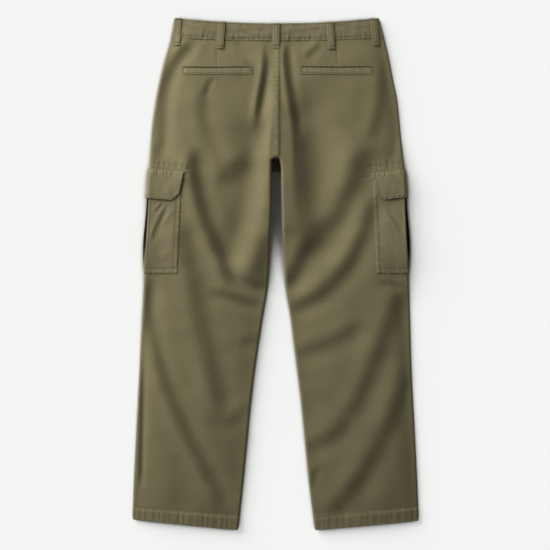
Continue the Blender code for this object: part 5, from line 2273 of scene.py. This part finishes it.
@dataclass
class Closure:
    """The hidden closure at centre front: fly shield, zip with its teeth, slider and button."""

    shop: Workshop
    top_y: float = 474.1
    row_step: float = 2.5
    tape_width: float = 30.0
    tape_cloth: float = 0.45
    tape_gap: float = 0.75
    tape_length: float = 164.0
    shield_width: float = 42.0
    shield_cloth: float = 1.2
    shield_gap: float = 2.8
    shield_length: float = 178.0
    slider_clear: float = 2.9
    slider_room: float = 42.0
    slider_slope: float = 20.0
    tooth: tuple[float, float, float] = (2.2, 0.9, 0.45)
    tooth_pitch: float = 1.7
    tooth_offset: float = 0.9
    button_profile: tuple = (
        (0.0, 0.9), (4.6, 0.9), (5.6, 0.7), (6.4, 0.15), (7.4, 0.0), (8.2, 0.35), (8.5, 1.2), (8.4, 2.3),
        (7.8, 2.9), (6.0, 3.0), (0.0, 3.0),
    )
    button_steps: int = 48
    button_crisp: float = 35.0
    hole_places: tuple = ((1.5, 1.5), (-1.5, 1.5), (-1.5, -1.5), (1.5, -1.5))
    hole_radius: float = 0.85
    hole_depth: float = 8.0
    hole_steps: int = 16
    hole_z: float = 1.5
    tape_cut: Cut = Cut(0.03, 0.165, 0.00495)
    shield_cut: Cut = Cut(0.042, 0.179, 0.0075)

    def panel_top(self, y: Array) -> Array:
        """Height of the front's upper face at the centre."""
        garment = self.shop.garment
        return stepped(garment.waist_lift, y) + garment.cloth

    def strip(self, width: float, gap: float, length: float) -> Array:
        """Grid of the upper face of a strip along the centre front, which rises over the slider.

        Args:
            width: The strip's width.
            gap: Its height over the front's upper face.
            length: Its length.

        Returns:
            The points.
        """
        y = tidy_count(np.arange(self.top_y, self.top_y - length, -self.row_step))[:, None]
        u = np.linspace(-0.5, 0.5, 13)[None, :]
        over = smoothstep((y - self.top_y + self.slider_room + self.slider_slope) / self.slider_slope)
        z = self.panel_top(y) + gap + self.slider_clear * over + 0.0 * u
        return np.stack((self.shop.garment.centre_x + width * u + 0.0 * y, y + 0.0 * u, z), -1)

    def make_teeth(self) -> bpy.types.Object:
        """Makes the zip's teeth along two rows.

        Returns:
            The teeth.
        """
        rows = RowTree("zip_teeth", {"Pitch": "Float", "Tooth": "Vector"})
        rows.close(rows.bench.add("GeometryNodeMeshCube", {"Size": rows.given["Tooth"]}), self.shop.brass)
        middle = self.strip(self.tape_width, self.tape_gap, self.tape_length)[2:-2, 6]
        lines = []
        for offset, slip in ((-self.tooth_offset, 0.0), (self.tooth_offset, self.tooth_pitch / 2.0)):
            lines.append(middle + (offset, slip, self.tooth[2] / 2.0))
        sizes = {"Pitch": self.tooth_pitch * MM, "Tooth": tuple(s * MM for s in self.tooth)}
        return rows.run("zip_teeth", "brass", lines, sizes)

    def make_disc(self) -> bpy.types.Object:
        """Makes the button's turned disc.

        Returns:
            The disc, with its middle at the origin.
        """
        shape = bmesh.new()
        path = [shape.verts.new((r * MM, 0.0, h * MM)) for r, h in self.button_profile]
        edges = [shape.edges.new(pair) for pair in zip(path, path[1:])]
        turn = {"cent": (0, 0, 0), "axis": (0, 0, 1), "angle": 2.0 * math.pi, "steps": self.button_steps}
        bmesh.ops.spin(shape, geom=path + edges, use_duplicate=False, **turn)
        bmesh.ops.remove_doubles(shape, verts=shape.verts, dist=1e-6)
        bmesh.ops.recalc_face_normals(shape, faces=shape.faces)
        mesh = bpy.data.meshes.new("waist_button_detail")
        shape.to_mesh(mesh)
        shape.free()
        return linked("button_blank", mesh)

    def make_drill(self) -> bpy.types.Object:
        """Makes the four round bars that cut the button's holes.

        Returns:
            The bars.
        """
        shape = bmesh.new()
        radius = self.hole_radius * MM
        sizes = {"radius1": radius, "radius2": radius, "depth": self.hole_depth * MM}
        for x, y in self.hole_places:
            made = bmesh.ops.create_cone(shape, cap_ends=True, segments=self.hole_steps, **sizes)
            bmesh.ops.translate(shape, verts=made["verts"], vec=(x * MM, y * MM, self.hole_z * MM))
        mesh = bpy.data.meshes.new("button_drill")
        shape.to_mesh(mesh)
        shape.free()
        return linked("button_drill", mesh)

    def make_button(self) -> bpy.types.Object:
        """Makes the button: a turned disc with a rim and four holes.

        Returns:
            The button, in its place.
        """
        low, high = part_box("waist_button")
        centre = (low + high) / 2.0
        disc, drill = self.make_disc(), self.make_drill()
        cut = disc.modifiers.new("holes", "BOOLEAN")
        cut.operation = "DIFFERENCE"
        cut.solver = "EXACT"
        cut.object = drill
        bpy.context.view_layer.update()
        button = plain_copy(disc, "waist_button_detail")
        bpy.data.objects.remove(drill)
        for vertex in button.data.vertices:
            vertex.co.x += centre.x
            vertex.co.y += centre.y
        button.data.materials.clear()
        button.data.materials.append(self.shop.plastic)
        button.data.polygons.foreach_set("use_smooth", np.ones(len(button.data.polygons), bool))
        button.data.set_sharp_from_angle(angle=math.radians(self.button_crisp))
        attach(button, BODY)
        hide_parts("waist_button")
        return button

    def build(self) -> None:
        tape = self.strip(self.tape_width, self.tape_gap, self.tape_length)
        tape = Cloth("cloth_zip_tape", tape, self.tape_cloth, UP).make(self.shop.tape)
        shield = self.strip(self.shield_width, self.shield_gap, self.shield_length)
        shield = Cloth("cloth_fly_shield", shield, self.shield_cloth, UP).make(self.shop.twill)
        teeth = self.make_teeth()
        lay(tape, "zip_tape")
        lay(shield, "fly_shield")
        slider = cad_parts["zip_slider"]
        slider.data.materials.clear()
        slider.data.materials.append(self.shop.brass)
        report(slider)
        report(self.make_button())


@dataclass(frozen=True)
class Studio:
    """Pale floor, soft light from the upper left and a camera straight above.

    The floor glows a little where the sky over it is open, which keeps the contact shadows light and leaves
    the narrow gap between the legs dark. `glow_sky` holds the shares of open sky at which the glow starts and
    is full, and `glow_reach` how far off cloth still closes the sky.
    """

    frame_width: float = 1.1495
    centre: tuple[float, float] = (-0.00115, -0.0021)
    lens: float = 100.0
    sensor: float = 36.0
    focus_height: float = 0.007
    sight: float = 50.0
    floor_half: float = 20.0
    floor_z: float = -0.0003
    floor_colour: Colour = (0.44, 0.44, 0.433)
    floor_roughness: float = 0.9
    floor_gloss: float = 0.1
    glow_colour: Colour = (1.0, 1.0, 0.99)
    floor_glow: float = 0.447
    glow_reach: float = 0.04
    glow_sky: tuple[float, float] = (0.57, 0.76)
    ambient: float = 0.25
    overhead: float = 0.1
    sun_strength: float = 6.4
    sun_breadth: float = 50.0
    sun_heading: tuple[float, float, float] = (0.75, -0.66, -0.43)

    def floor_finish(self) -> bpy.types.Material:
        """Builds the floor's material.

        Returns:
            The material.
        """
        made, bench, shader = blank_material("pale_floor")
        sky = bench.add("ShaderNodeAmbientOcclusion", {"Distance": self.glow_reach}, samples=16).outputs["AO"]
        closed, clear = self.glow_sky
        limits = {"Value": sky, "From Min": closed, "From Max": clear, "To Max": self.floor_glow}
        glow = bench.add("ShaderNodeMapRange", limits, interpolation_type="SMOOTHSTEP")
        looks = {
            "Base Color": solid(self.floor_colour),
            "Roughness": self.floor_roughness,
            "Specular IOR Level": self.floor_gloss,
            "Emission Color": solid(self.glow_colour),
            "Emission Strength": glow.outputs["Result"],
        }
        bench.fill(shader, looks)
        return made

    def make_floor(self) -> None:
        """Makes the floor."""
        half = self.floor_half
        edges = ((-half, -half), (half, -half), (half, half), (-half, half))
        corners = [(x, y, self.floor_z) for x, y in edges]
        mesh = bpy.data.meshes.new("floor")
        mesh.from_pydata(corners, [], [(0, 1, 2, 3)])
        mesh.materials.append(self.floor_finish())
        linked("floor", mesh)

    def make_sky(self) -> None:
        """Makes the world: white walls that are brightest at the horizon, and a dimmer ceiling."""
        world = bpy.data.worlds.new("studio")
        world.use_nodes = True
        bench, light = Bench(world.node_tree), world.node_tree.nodes["Background"]
        way = bench.add("ShaderNodeTexCoord").outputs["Generated"]
        rise = bench.add("ShaderNodeSeparateXYZ", {0: way}).outputs[2]
        wall = bench.math("SUBTRACT", 1.0, bench.math("MULTIPLY", rise, rise))
        walls, ceiling = 2.0 * self.ambient * (1.0 - self.overhead), self.overhead * self.ambient
        strength = bench.math("MULTIPLY_ADD", wall, walls, ceiling)
        bench.fill(light, {"Color": solid(WHITE), "Strength": strength})
        bpy.context.scene.world = world

    def make_sun(self) -> None:
        """Makes the key light."""
        light = bpy.data.lights.new("key", "SUN")
        light.energy = self.sun_strength
        light.angle = math.radians(self.sun_breadth)
        x, y, z = self.sun_heading
        turn = (math.atan2(math.hypot(x, y), -z), 0.0, math.atan2(y, x) - 0.5 * math.pi)
        linked("key", light).rotation_euler = turn

    def make_camera(self) -> None:
        """Makes the camera, which looks straight down."""
        data = bpy.data.cameras.new("camera")
        data.lens = self.lens
        data.sensor_width = self.sensor
        data.clip_end = self.sight
        data.dof.use_dof = False
        camera = linked("camera", data)
        camera.location = (*self.centre, self.frame_width * self.lens / self.sensor + self.focus_height)
        bpy.context.scene.camera = camera

    def build(self) -> None:
        """Sets up the floor, the lights and the camera."""
        self.make_floor()
        self.make_sky()
        self.make_sun()
        self.make_camera()
        view = bpy.context.scene.view_settings
        view.view_transform = "Standard"
        view.look = "None"


def main() -> None:
    """Builds the garment's pieces in order."""
    logging.basicConfig(level=logging.INFO, format="%(message)s")
    Studio().build()
    shop = Workshop(
        garment=Garment(),
        twill=TwillFinish("twill").material(),
        band_twill=TwillFinish("band_twill", colour=(0.156, 0.136, 0.074)).material(),
        # Lighter than the legs' twill: painted light
        pocket_twill=TwillFinish(
            "pocket_twill", colour=(0.178, 0.156, 0.087), gloss=0.03, nap=0.0,
        ).material(),
        tape=TwillFinish("zip_tape_cloth", colour=(0.12, 0.105, 0.058), wale=0.7, wale_angle=45.0).material(),
        brass=HardFinish("brass", (0.55, 0.42, 0.20), (0.42, 0.31, 0.14), 0.35, 1.0).material(),
        plastic=HardFinish("button_plastic", (0.085, 0.074, 0.042), (0.1, 0.09, 0.055), 0.45, 0.0).material(),
        sewing=Sewing(ThreadFinish().material()),
    )
    fronts = FrontPanels(shop)
    fronts.build()
    BackPanels(shop).build()
    Waistband(shop, fronts).build()
    BeltLoops(shop).build()
    BackPockets(shop).build()
    CargoPockets(shop).build()
    Closure(shop).build()


if __name__ == "__main__":
    main()
